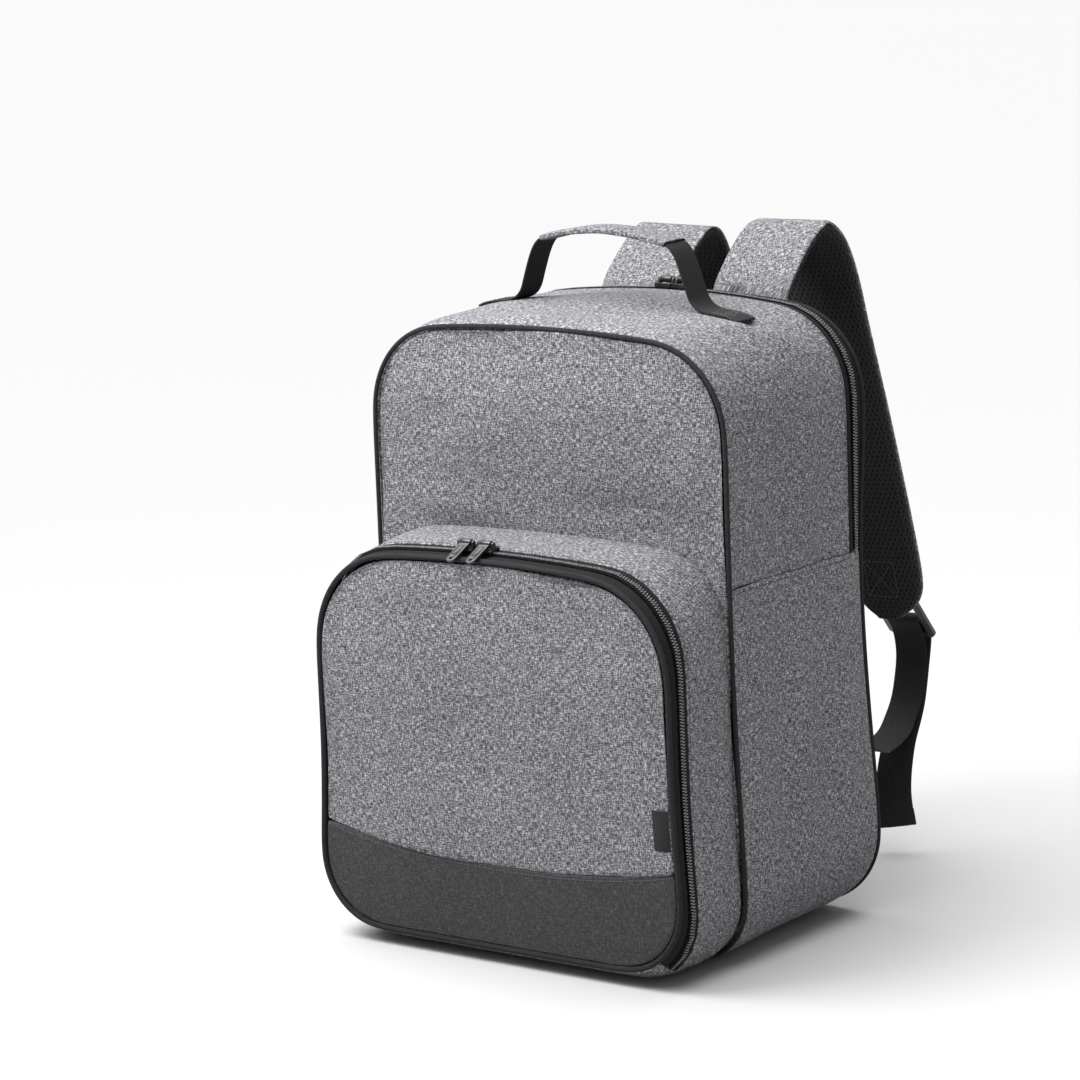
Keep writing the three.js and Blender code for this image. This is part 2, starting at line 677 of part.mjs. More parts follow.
// Carry handle: webbing from foot to foot and a sleeve round its middle.
function handle() {
  const y = handleDepth;
  const top = mainLevels(y);
  const seat = inset(top, -clearance - webbingThickness / 2);
  const crest = topHeight(top, 0) + handleRise;
  const ring = ringOf(seat).filter((point) => point.x >= 0 && point.z > sideSeamHeight);
  const onTop = (x) => {
    let k = 0;
    while (k < ring.length - 2 && ring[k + 1].x > x) k++;
    return mix(ring[k].z, ring[k + 1].z, (x - ring[k].x) / (ring[k + 1].x - ring[k].x));
  };
  const gripHalf = gripLength / 2;
  const rise = (x, z) => new THREE.Vector3(x, y, z);
  const bendZ = mix(onTop(footInner), crest, 0.28);
  const half = [
    rise(footOuter, onTop(footOuter)),
    ...ring.filter(({ x }) => x < footOuter - 3 && x > footInner + 3).map(({ x, z }) => rise(x, z + clearance)),
    rise(footInner + 4, onTop(footInner + 4) + 3 * clearance),
    rise(footInner - 3, mix(onTop(footInner), bendZ, 0.4)),
    rise(footInner - 6, bendZ),
    rise(footInner - 14, mix(onTop(footInner), crest, 0.7)),
    rise(gripHalf + 2, crest - 8),
    rise(gripHalf * 0.7, crest - 3.4),
    rise(gripHalf * 0.35, crest - 0.8),
  ];
  const middle = rise(0, crest);
  const points = [...half, middle, ...half.map((p) => new THREE.Vector3(-p.x, p.y, p.z)).reverse()];
  const curve = new THREE.CatmullRomCurve3(points, false, 'centripetal');
  const sideways = new THREE.Vector3(0, 1, 0);
  const stations = stationsOn(curve, evenShares(44), sideways);
  const webbingHalf = handleWebbing / 2;
  add('handle_webbing', ribbon(stations, () => webbingHalf, webbingThickness / 2, -webbingThickness / 2), colours.webbing);
  const length = curve.getLength();
  const sleeveStart = 0.5 - gripLength / 2 / length;
  const sleeve = stationsOn(curve, evenShares(10).map((s) => mix(sleeveStart, 1 - sleeveStart, s)), sideways);
  const loop = (w, t, corner) => [
    [w, t - corner], [w - 3 * corner, t], [3 * corner - w, t], [-w, t - corner],
    [-w, corner - t], [3 * corner - w, -t], [w - 3 * corner, -t], [w, corner - t],
  ];
  const outerLoop = loop(gripWidth / 2, gripThickness / 2, 0.9);
  const innerLoop = loop(webbingHalf + clearance, webbingThickness / 2 + clearance, 0.1);
  const place = (list, { point, across, out }) => list.map(([a, b]) => (
    point.clone().addScaledVector(across, a).addScaledVector(out, b)));
  const outward = sleeve.map((station) => place(outerLoop, station));
  const inward = sleeve.map((station) => place(innerLoop, station)).reverse();
  add('handle_grip', hoop([...outward, ...inward]), colours.heather);
}

// One shoulder strap on the right of the bag, with the places of its tip and its lock's top bar.
function strapPieces(middle, droop) {
  const place = ({ reach, rise, out }) => new THREE.Vector3(
    middle + out * strapSplay,
    backY + reach * strapReach,
    rise * bagHeight - droop * Math.sin(Math.PI * reach));
  const curve = new THREE.CatmullRomCurve3(STRAP_ROUTE.map(place), false, 'centripetal');
  const length = curve.getLength();
  const tipStart = 1 - strapTipRadius / length;
  const tipShares = [0.35, 0.62, 0.82, 0.94, 1];
  const arch = evenShares(ARCH_STEPS, archShare);
  const run = evenShares(RUN_STEPS).slice(1).map((s) => mix(archShare, tipStart, s));
  const shares = [...arch, ...run, ...tipShares.map((s) => mix(tipStart, 1, s))];
  const stations = stationsOn(curve, shares, new THREE.Vector3(1, 0, 0));
  const half = (i) => {
    const past = Math.max(0, (shares[i] - tipStart) / (1 - tipStart));
    return (strapWidth / 2) * Math.max(0.3, Math.sqrt(1 - past ** 2));
  };
  const gap = strapCover + clearance;
  const pinch = (c) => (Math.abs(c) > 0.99 ? 0.45 : 1);
  const cover = ribbon(stations, half, 0, -strapCover);
  const pad = ribbon(stations, (i) => half(i) * 0.985, -gap, -gap - strapPad, [-1, -0.8, 0.8, 1], pinch);

  const barShare = 1 - lockAboveTip / length;
  const along = curve.getTangentAt(barShare);
  along.x = 0;
  along.normalize();
  const out = new THREE.Vector3(0, -along.z, along.y);
  const bar = curve.getPointAt(barShare).addScaledVector(out, barOut);
  const lean = new THREE.Vector3(1, 0, 0);
  const lockAlong = along.clone().applyAxisAngle(lean, THREE.MathUtils.degToRad(lockLean));
  const lockOut = new THREE.Vector3(0, -lockAlong.z, lockAlong.y);
  return { cover, pad, bar, along, out, lockAlong, lockOut };
}

// Round eye of the tab, which clears the lock's square bar.
const eyeHole = (lockBar / 2) * Math.SQRT2 + clearance;
const eyeOuter = eyeHole + webbingThickness;
const barOut = eyeOuter + clearance;

// Moves a body whose Y points out and whose Z points up to the lock's top bar.
function atBar(geometry, bar, along, out) {
  const frame = new THREE.Matrix4().makeBasis(new THREE.Vector3(1, 0, 0), out, along.clone().negate());
  return geometry.applyMatrix4(frame).translate(bar.x, bar.y, bar.z);
}

// Tab of webbing sewn on the strap, with a round eye for the lock's top bar.
function lockTab({ bar, along, out }) {
  const tabThickness = 2 * webbingThickness;
  const low = clearance - barOut;
  const outline = new THREE.Shape();
  outline.moveTo(low, lockTabLength);
  outline.lineTo(low, 0);
  outline.absarc(0, 0, eyeOuter, Math.PI, 2 * Math.PI, false);
  outline.lineTo(eyeOuter, eyeOuter * 0.4);
  outline.lineTo(low + tabThickness, eyeOuter * 1.7);
  outline.lineTo(low + tabThickness, lockTabLength);
  outline.closePath();
  const eye = new THREE.Path();
  eye.absarc(0, 0, eyeHole, 0, 2 * Math.PI, true);
  outline.holes.push(eye);
  const body = new THREE.ExtrudeGeometry(outline, { depth: adjusterWebbing - 1, bevelEnabled: false, curveSegments: 8 });
  // The profile's X is outwards, its Y is up the strap and its depth is across.
  const basis = new THREE.Matrix4().makeBasis(
    new THREE.Vector3(0, 1, 0), new THREE.Vector3(0, 0, 1), new THREE.Vector3(1, 0, 0));
  body.applyMatrix4(basis).translate(-(adjusterWebbing - 1) / 2, 0, 0);
  return atBar(body, bar, along, out);
}

// Ladder lock: a plate with two slots, hung by its top bar.
function ladderLock({ bar, lockAlong, lockOut }) {
  const outline = new THREE.Shape();
  const half = lockWidth / 2;
  const corner = lockBar;
  const top = lockBar / 2;
  const bottom = top - lockHeight;
  outline.moveTo(-half, bottom + corner);
  outline.lineTo(-half, top - corner / 2);
  outline.lineTo(corner / 2 - half, top);
  outline.lineTo(half - corner / 2, top);
  outline.lineTo(half, top - corner / 2);
  outline.lineTo(half, bottom + corner);
  outline.lineTo(half - corner, bottom);
  outline.lineTo(corner - half, bottom);
  const plate = new THREE.ExtrudeGeometry(outline, { depth: lockThickness, bevelEnabled: false });
  let solid = solidOf(plate.translate(0, 0, -lockThickness / 2).rotateX(Math.PI / 2));
  const slotWidth = adjusterWebbing + 4 * clearance;
  for (const slotTop of [-lockBar / 2, -lockBar * 1.5 - lockSlot]) {
    const slot = block(slotWidth, 2 * lockThickness, lockSlot, 0, 0, slotTop - lockSlot / 2);
    solid = solid.subtract(solidOf(slot));
  }
  return atBar(geometryOf(solid), bar, lockAlong, lockOut);
}

// Route of the adjusting webbing below its lock, beside the middle of its width.
// reach runs from the back panel to the lock's top bar, fall from that bar down to tailHeight and
// side from anchorPlace to the bar. The first list hangs towards the bag, the second is the tail.
const BEND_ROUTE = [
  { reach: 0.0, fall: 0.21, side: 0 },
  { reach: 0.004, fall: 0.335, side: 0 },
  { reach: 0.04, fall: 0.405, side: 0 },
  { reach: 0.187, fall: 0.465, side: 0.06 },
  { reach: 0.361, fall: 0.512, side: 0.25 },
  { reach: 0.556, fall: 0.55, side: 0.58 },
  { reach: 0.762, fall: 0.585, side: 0.84 },
  { reach: 0.945, fall: 0.57, side: 0.96 },
  { reach: 1.025, fall: 0.52, side: 1 },
  { reach: 1.085, fall: 0.45, side: 1 },
  { reach: 1.122, fall: 0.345, side: 1 },
  { reach: 1.138, fall: 0.255, side: 1 },
];
const TAIL_ROUTE = [
  { reach: 1.18, fall: 0.21, side: 1 },
  { reach: 1.155, fall: 0.31, side: 1 },
  { reach: 1.115, fall: 0.46, side: 1 },
  { reach: 1.06, fall: 0.558, side: 1 },
  { reach: 0.996, fall: 0.65, side: 1 },
  { reach: 0.946, fall: 0.83, side: 1 },
  { reach: 0.985, fall: 1, side: 1 },
];

// The last points of the tail, along which it twists.
const TWISTED_POINTS = 3;

// Adjusting webbing: from the back panel in a low bend to the lock, round its middle bar and down.
function adjuster({ bar, lockAlong, lockOut }) {
  const turn = (lockBar / 2) * Math.SQRT2 + clearance + webbingThickness / 2;
  const middleBar = bar.clone().addScaledVector(lockAlong, lockBar + lockSlot);
  const near = (outwards, down) => middleBar.clone().addScaledVector(lockOut, outwards).addScaledVector(lockAlong, down);
  const panelY = backY + clearance + webbingThickness / 2;
  const place = ({ reach, fall, side }) => new THREE.Vector3(
    mix(anchorPlace, bar.x, side), mix(panelY, bar.y, reach), mix(bar.z, tailHeight, fall));
  const bend = BEND_ROUTE.map(place);
  bend[0].z = anchorHeight + anchorEnd;
  const barrel = [-1, -Math.SQRT1_2, 0, Math.SQRT1_2, 1];
  const points = [
    ...bend,
    near(-turn - clearance, lockBar + lockSlot / 2),
    ...barrel.map((s) => near(turn * s, -turn * Math.sqrt(Math.max(0, 1 - s * s)))),
    near(turn + 2 * clearance, lockBar + lockSlot),
    ...TAIL_ROUTE.map(place),
  ];
  const barrelStart = bend.length + 1;
  const curve = new THREE.CatmullRomCurve3(points, false, 'centripetal');
  const stations = [];
  points.forEach((_, i) => {
    const inBarrel = i >= barrelStart && i < barrelStart + barrel.length - 1;
    const steps = inBarrel ? 1 : 2;
    for (let k = 0; k < steps && i + k / steps <= points.length - 1; k++) {
      const share = (i + k / steps) / (points.length - 1);
      const twisted = Math.max(0, 1 - (points.length - 1 - i - k / steps) / TWISTED_POINTS);
      const sideways = new THREE.Vector3(1, tailTwist * ease(twisted), 0);
      stations.push(stationAt(curve.getPoint(share), curve.getTangent(share), sideways));
    }
  });
  return ribbon(stations, () => adjusterWebbing / 2, webbingThickness / 2, -webbingThickness / 2);
}

// Patch on the back panel that holds the end of the adjusting webbing.
function anchorPatch() {
  const y = backY + 2 * clearance + webbingThickness + anchorPatchThickness / 2;
  const width = adjusterWebbing + 2 * anchorPatchMargin;
  return block(width, anchorPatchThickness, anchorPatchHeight, anchorPlace, y, anchorHeight + anchorEnd);
}

mainBody();
zip('rear', mainLevels, [rearZipStart, rearChainStart, rearChainEnd, rearZipEnd], over(SEAM_LEVEL));
frontPocket();
zip('pocket', pocketLevels, [pocketZipStart, pocketChainStart, pocketChainEnd, pocketZipEnd], over(ZIP_END_LEVEL));
label();
sliders('pocket', pocketLevels, pocketChainStart, pocketChainEnd, pocketY, pipingRadius, -1, pocketSliderPlaces);
sliders('rear', mainLevels, rearChainStart, rearChainEnd, backY, backPipingRadius, 1, rearSliderPlaces);
handle();

for (const [side, middle, droop] of [['right', rightStrapPlace, 0], ['left', leftStrapPlace, leftStrapDroop]]) {
  const strap = strapPieces(middle, droop);
  const place = (name, geometry, material) => (
    add(`${side}_${name}`, side === 'left' ? mirrored(geometry) : geometry, material));
  place('strap_cover', strap.cover, colours.heather);
  place('strap_pad', strap.pad, colours.mesh);
  place('lock_tab', lockTab(strap), colours.webbing);
  place('ladder_lock', ladderLock(strap), colours.plastic);
  place('adjusting_webbing', adjuster(strap), colours.webbing);
  place('anchor_patch', anchorPatch(), colours.dark);
}

export default bag;
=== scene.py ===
# %% [markdown]
# # A cooler backpack in cloth, mesh and zips
# The bag is cut from heather grey polyester over thin foam, with dark piping, coil zips, padded
# straps and black webbing. Its sizes are fixed already: the frame holds each part as a plain solid.
# This lesson dresses those solids, one piece at a time, so that they read as sewn cloth.

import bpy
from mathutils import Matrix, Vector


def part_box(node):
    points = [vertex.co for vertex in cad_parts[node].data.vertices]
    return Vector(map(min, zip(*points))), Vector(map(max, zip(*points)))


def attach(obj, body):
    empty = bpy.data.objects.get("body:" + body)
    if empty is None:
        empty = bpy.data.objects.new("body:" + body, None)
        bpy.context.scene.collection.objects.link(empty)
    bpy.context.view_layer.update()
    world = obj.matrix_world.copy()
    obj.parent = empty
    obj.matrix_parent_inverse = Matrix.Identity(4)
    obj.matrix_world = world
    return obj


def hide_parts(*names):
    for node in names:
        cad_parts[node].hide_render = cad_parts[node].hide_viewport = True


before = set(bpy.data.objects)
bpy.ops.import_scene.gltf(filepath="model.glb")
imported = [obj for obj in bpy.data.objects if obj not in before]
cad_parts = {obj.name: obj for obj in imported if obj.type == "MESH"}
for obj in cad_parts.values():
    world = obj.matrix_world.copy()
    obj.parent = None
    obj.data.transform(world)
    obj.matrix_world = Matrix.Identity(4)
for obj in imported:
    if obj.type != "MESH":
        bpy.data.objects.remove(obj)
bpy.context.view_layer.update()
print("frame loaded:", len(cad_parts), "solids")

# %% [markdown]
# ## Camera, floor and light
# A product picture like this is taken with a long lens from a little above the bag's middle, so
# upright lines stay nearly parallel. The camera stands where such a lens sees the front and the
# right side. The floor is one large pale plane, and the light is soft and even, brightest from
# above and from the left of the camera, so that the right side of the bag falls into shade.

# %% Camera
import math

import bmesh
import bpy
import numpy as np
from mathutils import Matrix, Vector, noise

MM = 0.001
AZIMUTH = math.radians(37.26)
ELEVATION = math.radians(11.75)
ROLL = math.radians(-2.04)
DISTANCE = 2.86356
TARGET = Vector((0, -18, 205)) * MM
LENS = 144.8

back = Vector((
    math.sin(AZIMUTH) * math.cos(ELEVATION),
    -math.cos(AZIMUTH) * math.cos(ELEVATION),
    math.sin(ELEVATION),
))
level = Vector((math.cos(AZIMUTH), math.sin(AZIMUTH), 0))
upward = back.cross(level)
right = level * math.cos(ROLL) + upward * math.sin(ROLL)
up = upward * math.cos(ROLL) - level * math.sin(ROLL)
camera_data = bpy.data.cameras.new("camera")
camera_data.lens = LENS
camera_data.sensor_width = 36
camera_data.shift_x = -0.0626
camera_data.shift_y = 0.0719
camera_data.clip_end = 20
camera = bpy.data.objects.new("camera", camera_data)
bpy.context.scene.collection.objects.link(camera)
turn = Matrix((right, up, back)).transposed().to_4x4()
camera.matrix_world = Matrix.Translation(TARGET + back * DISTANCE) @ turn
bpy.context.scene.camera = camera
bpy.context.scene.view_settings.view_transform = "Standard"


# %% Floor
def select_only(*pieces):
    bpy.ops.object.select_all(action="DESELECT")
    for piece in pieces:
        piece.select_set(True)
    bpy.context.view_layer.objects.active = pieces[0]


FLOOR_SIZE = 60
bpy.ops.object.select_all(action="DESELECT")
bpy.ops.mesh.primitive_plane_add(size=FLOOR_SIZE)
floor = bpy.context.object
floor.name = "floor"
floor_paint = bpy.data.materials.new("floor_paint")
floor_paint.use_nodes = True
floor_shader = floor_paint.node_tree.nodes["Principled BSDF"]
floor_shader.inputs["Base Color"].default_value = (0.47, 0.47, 0.47, 1)
floor_shader.inputs["Roughness"].default_value = 0.6
floor.data.materials.append(floor_paint)

# %% Light
WORLD_STRENGTH = 0.4
world = bpy.data.worlds.new("studio")
bpy.context.scene.world = world
world.use_nodes = True
world.node_tree.nodes["Background"].inputs["Color"].default_value = (1, 1, 1, 1)
world.node_tree.nodes["Background"].inputs["Strength"].default_value = WORLD_STRENGTH


def soft_sun(name, towards, strength, width):
    """Even soft light from one side. towards points from the bag to the light."""
    data = bpy.data.lights.new(name, "SUN")
    data.energy = strength * math.pi
    data.angle = math.radians(width)
    lamp = bpy.data.objects.new(name, data)
    bpy.context.scene.collection.objects.link(lamp)
    lamp.rotation_euler = Vector(towards).to_track_quat("Z", "Y").to_euler()
    return lamp


def soft_panel(name, place, target, power, size):
    """A square lamp near the bag, which lights the top of the front more than its foot."""
    data = bpy.data.lights.new(name, "AREA")
    data.energy = power
    data.size = size
    lamp = bpy.data.objects.new(name, data)
    bpy.context.scene.collection.objects.link(lamp)
    lamp.location = place
    lamp.rotation_euler = (Vector(place) - Vector(target)).to_track_quat("Z", "Y").to_euler()
    lamp.visible_camera = False
    return lamp


soft_sun("top_light", (-0.2, -0.08, 0.98), 1.7, 80)
soft_panel("front_panel_light", (-0.25, -0.42, 0.85), (0.0, -0.05, 0.38), 6.6, 0.4)
print("camera and light are in place")

# %% [markdown]
# ## Patterns that cloth shares
# Woven cloth is drawn with two noises, one stretched along the warp and one along the weft. Where
# the warp lies on top its noise shows, elsewhere that of the weft. Heather cloth is just that with
# yarns of unlike greys. The pattern reads a UV map in metres, so a yarn has its real width on every
# piece. It sits in one node group, and each material sets its own yarn width and contrast.


# %% Node helpers
def new_group(name, inputs, outputs):
    group = bpy.data.node_groups.new(name, "ShaderNodeTree")
    for socket, kind, value in inputs:
        made = group.interface.new_socket(name=socket, in_out="INPUT", socket_type=kind)
        if value is not None:
            made.default_value = value
    for socket, kind in outputs:
        group.interface.new_socket(name=socket, in_out="OUTPUT", socket_type=kind)
    return group


class Wiring:
    """Adds nodes to a tree and joins them, one line a node."""

    def __init__(self, tree):
        self.tree = tree

    def node(self, kind, settings=None, **inputs):
        made = self.tree.nodes.new(kind)
        for key, value in (settings or {}).items():
            setattr(made, key, value)
        for key, value in inputs.items():
            self.put(made, key.replace("_", " "), value)
        return made

    def put(self, node, socket, value):
        target = node.inputs[int(socket)] if socket.isdigit() else node.inputs[socket]
        if isinstance(value, bpy.types.NodeSocket):
            self.tree.links.new(value, target)
        else:
            target.default_value = value

    def math(self, operation, a, b=0.0, clamp=False):
        made = self.node("ShaderNodeMath", {"operation": operation, "use_clamp": clamp})
        self.put(made, "0", a)
        self.put(made, "1", b)
        return made.outputs[0]

    def mix(self, share, a, b):
        made = self.node("ShaderNodeMix", {"data_type": "FLOAT"})
        for socket, value in zip(("0", "2", "3"), (share, a, b)):
            self.put(made, socket, value)
        return made.outputs[0]

    def blend(self, share, a, b, kind="MIX"):
        made = self.node("ShaderNodeMix", {"data_type": "RGBA", "blend_type": kind})
        for socket, value in zip(("0", "6", "7"), (share, a, b)):
            self.put(made, socket, value)
        return made.outputs[2]

    def span(self, value, low, high, to_low=0.0, to_high=1.0):
        made = self.node("ShaderNodeMapRange")
        for socket, number in zip(("0", "1", "2", "3", "4"), (value, low, high, to_low, to_high)):
            self.put(made, socket, number)
        return made.outputs[0]

    def noise(self, vector, scale, detail=2.0):
        made = self.node("ShaderNodeTexNoise", Vector=vector, Scale=scale, Detail=detail)
        return made.outputs["Fac"]

    def stretched(self, vector, x, y, z=1.0):
        made = self.node("ShaderNodeVectorMath", {"operation": "MULTIPLY"})
        self.put(made, "0", vector)
        self.put(made, "1", (x, y, z))
        return made.outputs[0]


# %% Yarn group
FLECK = 4.5
SLUB = 22.0
yarn = new_group(
    "yarn",
    [("Map", "NodeSocketVector", None), ("Yarn", "NodeSocketFloat", 0.0005)],
    [("Shade", "NodeSocketFloat"), ("Slub", "NodeSocketFloat"), ("Height", "NodeSocketFloat")],
)
w = Wiring(yarn)
source = w.node("NodeGroupInput")
per_yarn = w.math("DIVIDE", 1.0, source.outputs["Yarn"])
scaled = w.node("ShaderNodeVectorMath", {"operation": "SCALE"})
w.put(scaled, "0", source.outputs["Map"])
w.put(scaled, "Scale", per_yarn)
weft = w.noise(w.stretched(scaled.outputs[0], 1 / FLECK, 1.0), 0.75, 1.0)
warp = w.noise(w.stretched(scaled.outputs[0], 1.0, 1 / FLECK), 0.75, 1.0)
waves = w.stretched(scaled.outputs[0], math.pi, math.pi)
split = w.node("ShaderNodeSeparateXYZ", Vector=waves)
across = w.math("SINE", split.outputs["X"])
along = w.math("SINE", split.outputs["Y"])
over = w.span(w.math("MULTIPLY", across, along), -0.35, 0.35)
blotch = w.noise(scaled.outputs[0], 0.07, 3.0)
crossed = w.mix(0.35, w.mix(over, warp, weft), w.mix(0.5, warp, weft))
shade = w.mix(0.1, crossed, blotch)
slub_weft = w.noise(w.stretched(scaled.outputs[0], 1 / SLUB, 1.0), 0.7, 0.0)
slub_warp = w.noise(w.stretched(scaled.outputs[0], 1.0, 1 / SLUB), 0.7, 0.0)
thick = w.math("MAXIMUM", w.span(slub_weft, 0.6, 0.78), w.span(slub_warp, 0.6, 0.78))
height = w.mix(over, w.math("ABSOLUTE", across), w.math("ABSOLUTE", along))
sink = w.node("NodeGroupOutput")
w.put(sink, "Shade", shade)
w.put(sink, "Slub", thick)
w.put(sink, "Height", height)
print("yarn group:", len(yarn.nodes), "nodes")

# %% Painted fold shade group
# Painted shade: slow random blotches make the cloth colour lighter and darker, standing in for the shade of soft
# folds.
FOLD_SHADE_SIZE = 14.0
fold_shade_group = new_group(
    "cloth_wear",
    [("Strength", "NodeSocketFloat", 0.1)],
    [("Shade", "NodeSocketFloat")],
)
w = Wiring(fold_shade_group)
source = w.node("NodeGroupInput")
place = w.node("ShaderNodeTexCoord")
shade_cloud = w.noise(place.outputs["Object"], FOLD_SHADE_SIZE, 4.0)
shade_cloud = w.span(shade_cloud, 0.3, 0.7, -1.0, 1.0)
sink = w.node("NodeGroupOutput")
w.put(sink, "Shade", w.math("ADD", 1.0, w.math("MULTIPLY", shade_cloud, source.outputs["Strength"])))


# %% [markdown]
# ## Finishes
# Cloth takes its colour from three greys of yarn, and its bump from the weave. It has no gloss,
# only the faint sheen of polyester fibre ends. Webbing is ribbed along its length, air mesh is
# knitted round rows of open holes, and coils and buckles are smooth plastic.


# %% Cloth finishes
def plain_finish(name, colour, roughness, metallic=0.0):
    finish = bpy.data.materials.new(name)
    finish.use_nodes = True
    shader = finish.node_tree.nodes["Principled BSDF"]
    shader.inputs["Base Color"].default_value = (*colour, 1)
    shader.inputs["Roughness"].default_value = roughness
    shader.inputs["Metallic"].default_value = metallic
    return finish, shader


def woven(name, greys, yarn_width, contrast, slub=0.1, sheen=0.0, bump=0.5, fold_shade=0.05):
    """greys are the darkest, middle and lightest yarn; contrast is the range of noise that spans them."""
    finish, shader = plain_finish(name, greys[1], 0.92)
    shader.inputs["Sheen Weight"].default_value = sheen
    shader.inputs["Specular IOR Level"].default_value = 0.2
    w = Wiring(finish.node_tree)
    chart = w.node("ShaderNodeUVMap", {"uv_map": "cloth"})
    threads = w.node("ShaderNodeGroup", {"node_tree": yarn}, Map=chart.outputs[0], Yarn=yarn_width)
    ramp = w.node("ShaderNodeValToRGB")
    mixed = w.math("ADD", threads.outputs["Shade"], w.math("MULTIPLY", threads.outputs["Slub"], slub * contrast))
    w.put(ramp, "Fac", w.span(mixed, 0.5 - contrast, 0.5 + contrast))
    for k, grey in enumerate(greys):
        if k == 1:
            ramp.color_ramp.elements.new(0.5)
        ramp.color_ramp.elements[k].color = (*grey, 1)
    # Painted fold shade: the yarn colour is made lighter and darker in slow blotches.
    fold_shade_node = w.node("ShaderNodeGroup", {"node_tree": fold_shade_group}, Strength=fold_shade)
    shaded_tone = w.node("ShaderNodeHueSaturation", Color=ramp.outputs["Color"], Value=fold_shade_node.outputs["Shade"])
    w.put(shader, "Base Color", shaded_tone.outputs["Color"])
    relief = w.node("ShaderNodeBump", Height=threads.outputs["Height"], Strength=bump, Distance=0.0003)
    w.put(shader, "Normal", relief.outputs["Normal"])
    return finish


heather = woven(
    "heather_cloth",
    [(0.016, 0.0162, 0.0175), (0.113, 0.1147, 0.1228), (0.48, 0.487, 0.514)],
    yarn_width=0.00052,
    contrast=0.16,
    slub=0.15,
)
dark_cloth = woven(
    "dark_cloth",
    [(0.02, 0.02, 0.0205), (0.04, 0.04, 0.041), (0.09, 0.09, 0.093)],
    yarn_width=0.00066,
    contrast=0.25,
    slub=0.25,
)
piping_cloth = woven(
    "piping_cloth",
    [(0.008, 0.008, 0.0085), (0.018, 0.018, 0.019), (0.04, 0.04, 0.042)],
    yarn_width=0.0004,
    contrast=0.25,
)
tape_cloth = woven(
    "zip_tape_cloth",
    [(0.004, 0.004, 0.0045), (0.009, 0.009, 0.0095), (0.02, 0.02, 0.021)],
    yarn_width=0.0004,
    contrast=0.25,
)
cord_cloth = woven(
    "zip_cord_cloth",
    [(0.001, 0.001, 0.001), (0.003, 0.003, 0.003), (0.008, 0.008, 0.008)],
    yarn_width=0.0004,
    contrast=0.25,
)
label_cloth = woven(
    "label_satin",
    [(0.006, 0.006, 0.007), (0.011, 0.011, 0.013), (0.022, 0.022, 0.025)],
    yarn_width=0.0003,
    contrast=0.25,
    sheen=0.1,
)


# %% Webbing finish
RIB_PITCH = 0.0016


def ribbed(name, greys):
    finish, shader = plain_finish(name, greys[1], 0.8)
    shader.inputs["Specular IOR Level"].default_value = 0.25
    w = Wiring(finish.node_tree)
    chart = w.node("ShaderNodeUVMap", {"uv_map": "cloth"})
    split = w.node("ShaderNodeSeparateXYZ", Vector=chart.outputs[0])
    rib = w.math("MULTIPLY", split.outputs["X"], 2 * math.pi / RIB_PITCH)
    pick = w.math("MULTIPLY", split.outputs["Y"], 2 * math.pi / (RIB_PITCH * 0.9))
    lean = w.math("ADD", pick, w.math("MULTIPLY", w.math("SINE", rib), 1.6))
    ridge = w.math("ADD", w.math("ABSOLUTE", w.math("SINE", w.math("MULTIPLY", rib, 0.5))), 0.0)
    knots = w.math("ADD", w.math("MULTIPLY", w.math("SINE", lean), 0.5), 0.5)
    height = w.math("MULTIPLY", ridge, w.math("ADD", w.math("MULTIPLY", knots, 0.6), 0.4))
    threads = w.node("ShaderNodeGroup", {"node_tree": yarn}, Map=chart.outputs[0], Yarn=0.0004)
    # The colour follows the rib height over the yarn noise: crests lighter, grooves darker. This is painted
    # highlight and painted shade of the ribs.
    share = w.math("ADD", w.math("MULTIPLY", height, 0.6), w.math("MULTIPLY", threads.outputs["Shade"], 0.5))
    ramp = w.node("ShaderNodeValToRGB", Fac=share)
    for k, grey in enumerate(greys):
        if k == 1:
            ramp.color_ramp.elements.new(0.5)
        ramp.color_ramp.elements[k].color = (*grey, 1)
    w.put(shader, "Base Color", ramp.outputs["Color"])
    relief = w.node("ShaderNodeBump", Height=height, Strength=0.7, Distance=0.0004)
    w.put(shader, "Normal", relief.outputs["Normal"])
    return finish


# The lightest grey is reached on the rib crests: painted highlight on the black webbing.
webbing = ribbed("black_webbing", [(0.002, 0.002, 0.0022), (0.01, 0.01, 0.0105), (0.045, 0.045, 0.047)])

# %% Air mesh finish
HOLE_PITCH = 0.0042
air_mesh, shader = plain_finish("air_mesh", (0.02, 0.02, 0.021), 0.85)
shader.inputs["Specular IOR Level"].default_value = 0.25
w = Wiring(air_mesh.node_tree)
chart = w.node("ShaderNodeUVMap", {"uv_map": "cloth"})
scaled = w.stretched(chart.outputs[0], 1 / HOLE_PITCH, 0.62 / HOLE_PITCH)


def hole_grid(w, vector, shift):
    """Distance from the nearest of a grid of points."""
    moved = w.node("ShaderNodeVectorMath", {"operation": "ADD"})
    w.put(moved, "0", vector)
    w.put(moved, "1", (shift, shift, 0))
    part = w.node("ShaderNodeVectorMath", {"operation": "FRACTION"})
    w.put(part, "0", moved.outputs[0])
    centred = w.node("ShaderNodeVectorMath", {"operation": "SUBTRACT"})
    w.put(centred, "0", part.outputs[0])
    w.put(centred, "1", (0.5, 0.5, 0))
    split = w.node("ShaderNodeSeparateXYZ", Vector=centred.outputs[0])
    wide = w.math("MULTIPLY", w.math("ABSOLUTE", split.outputs["X"]), 1.0)
    tall = w.math("MULTIPLY", w.math("ABSOLUTE", split.outputs["Y"]), 0.8)
    return w.math("ADD", wide, tall)


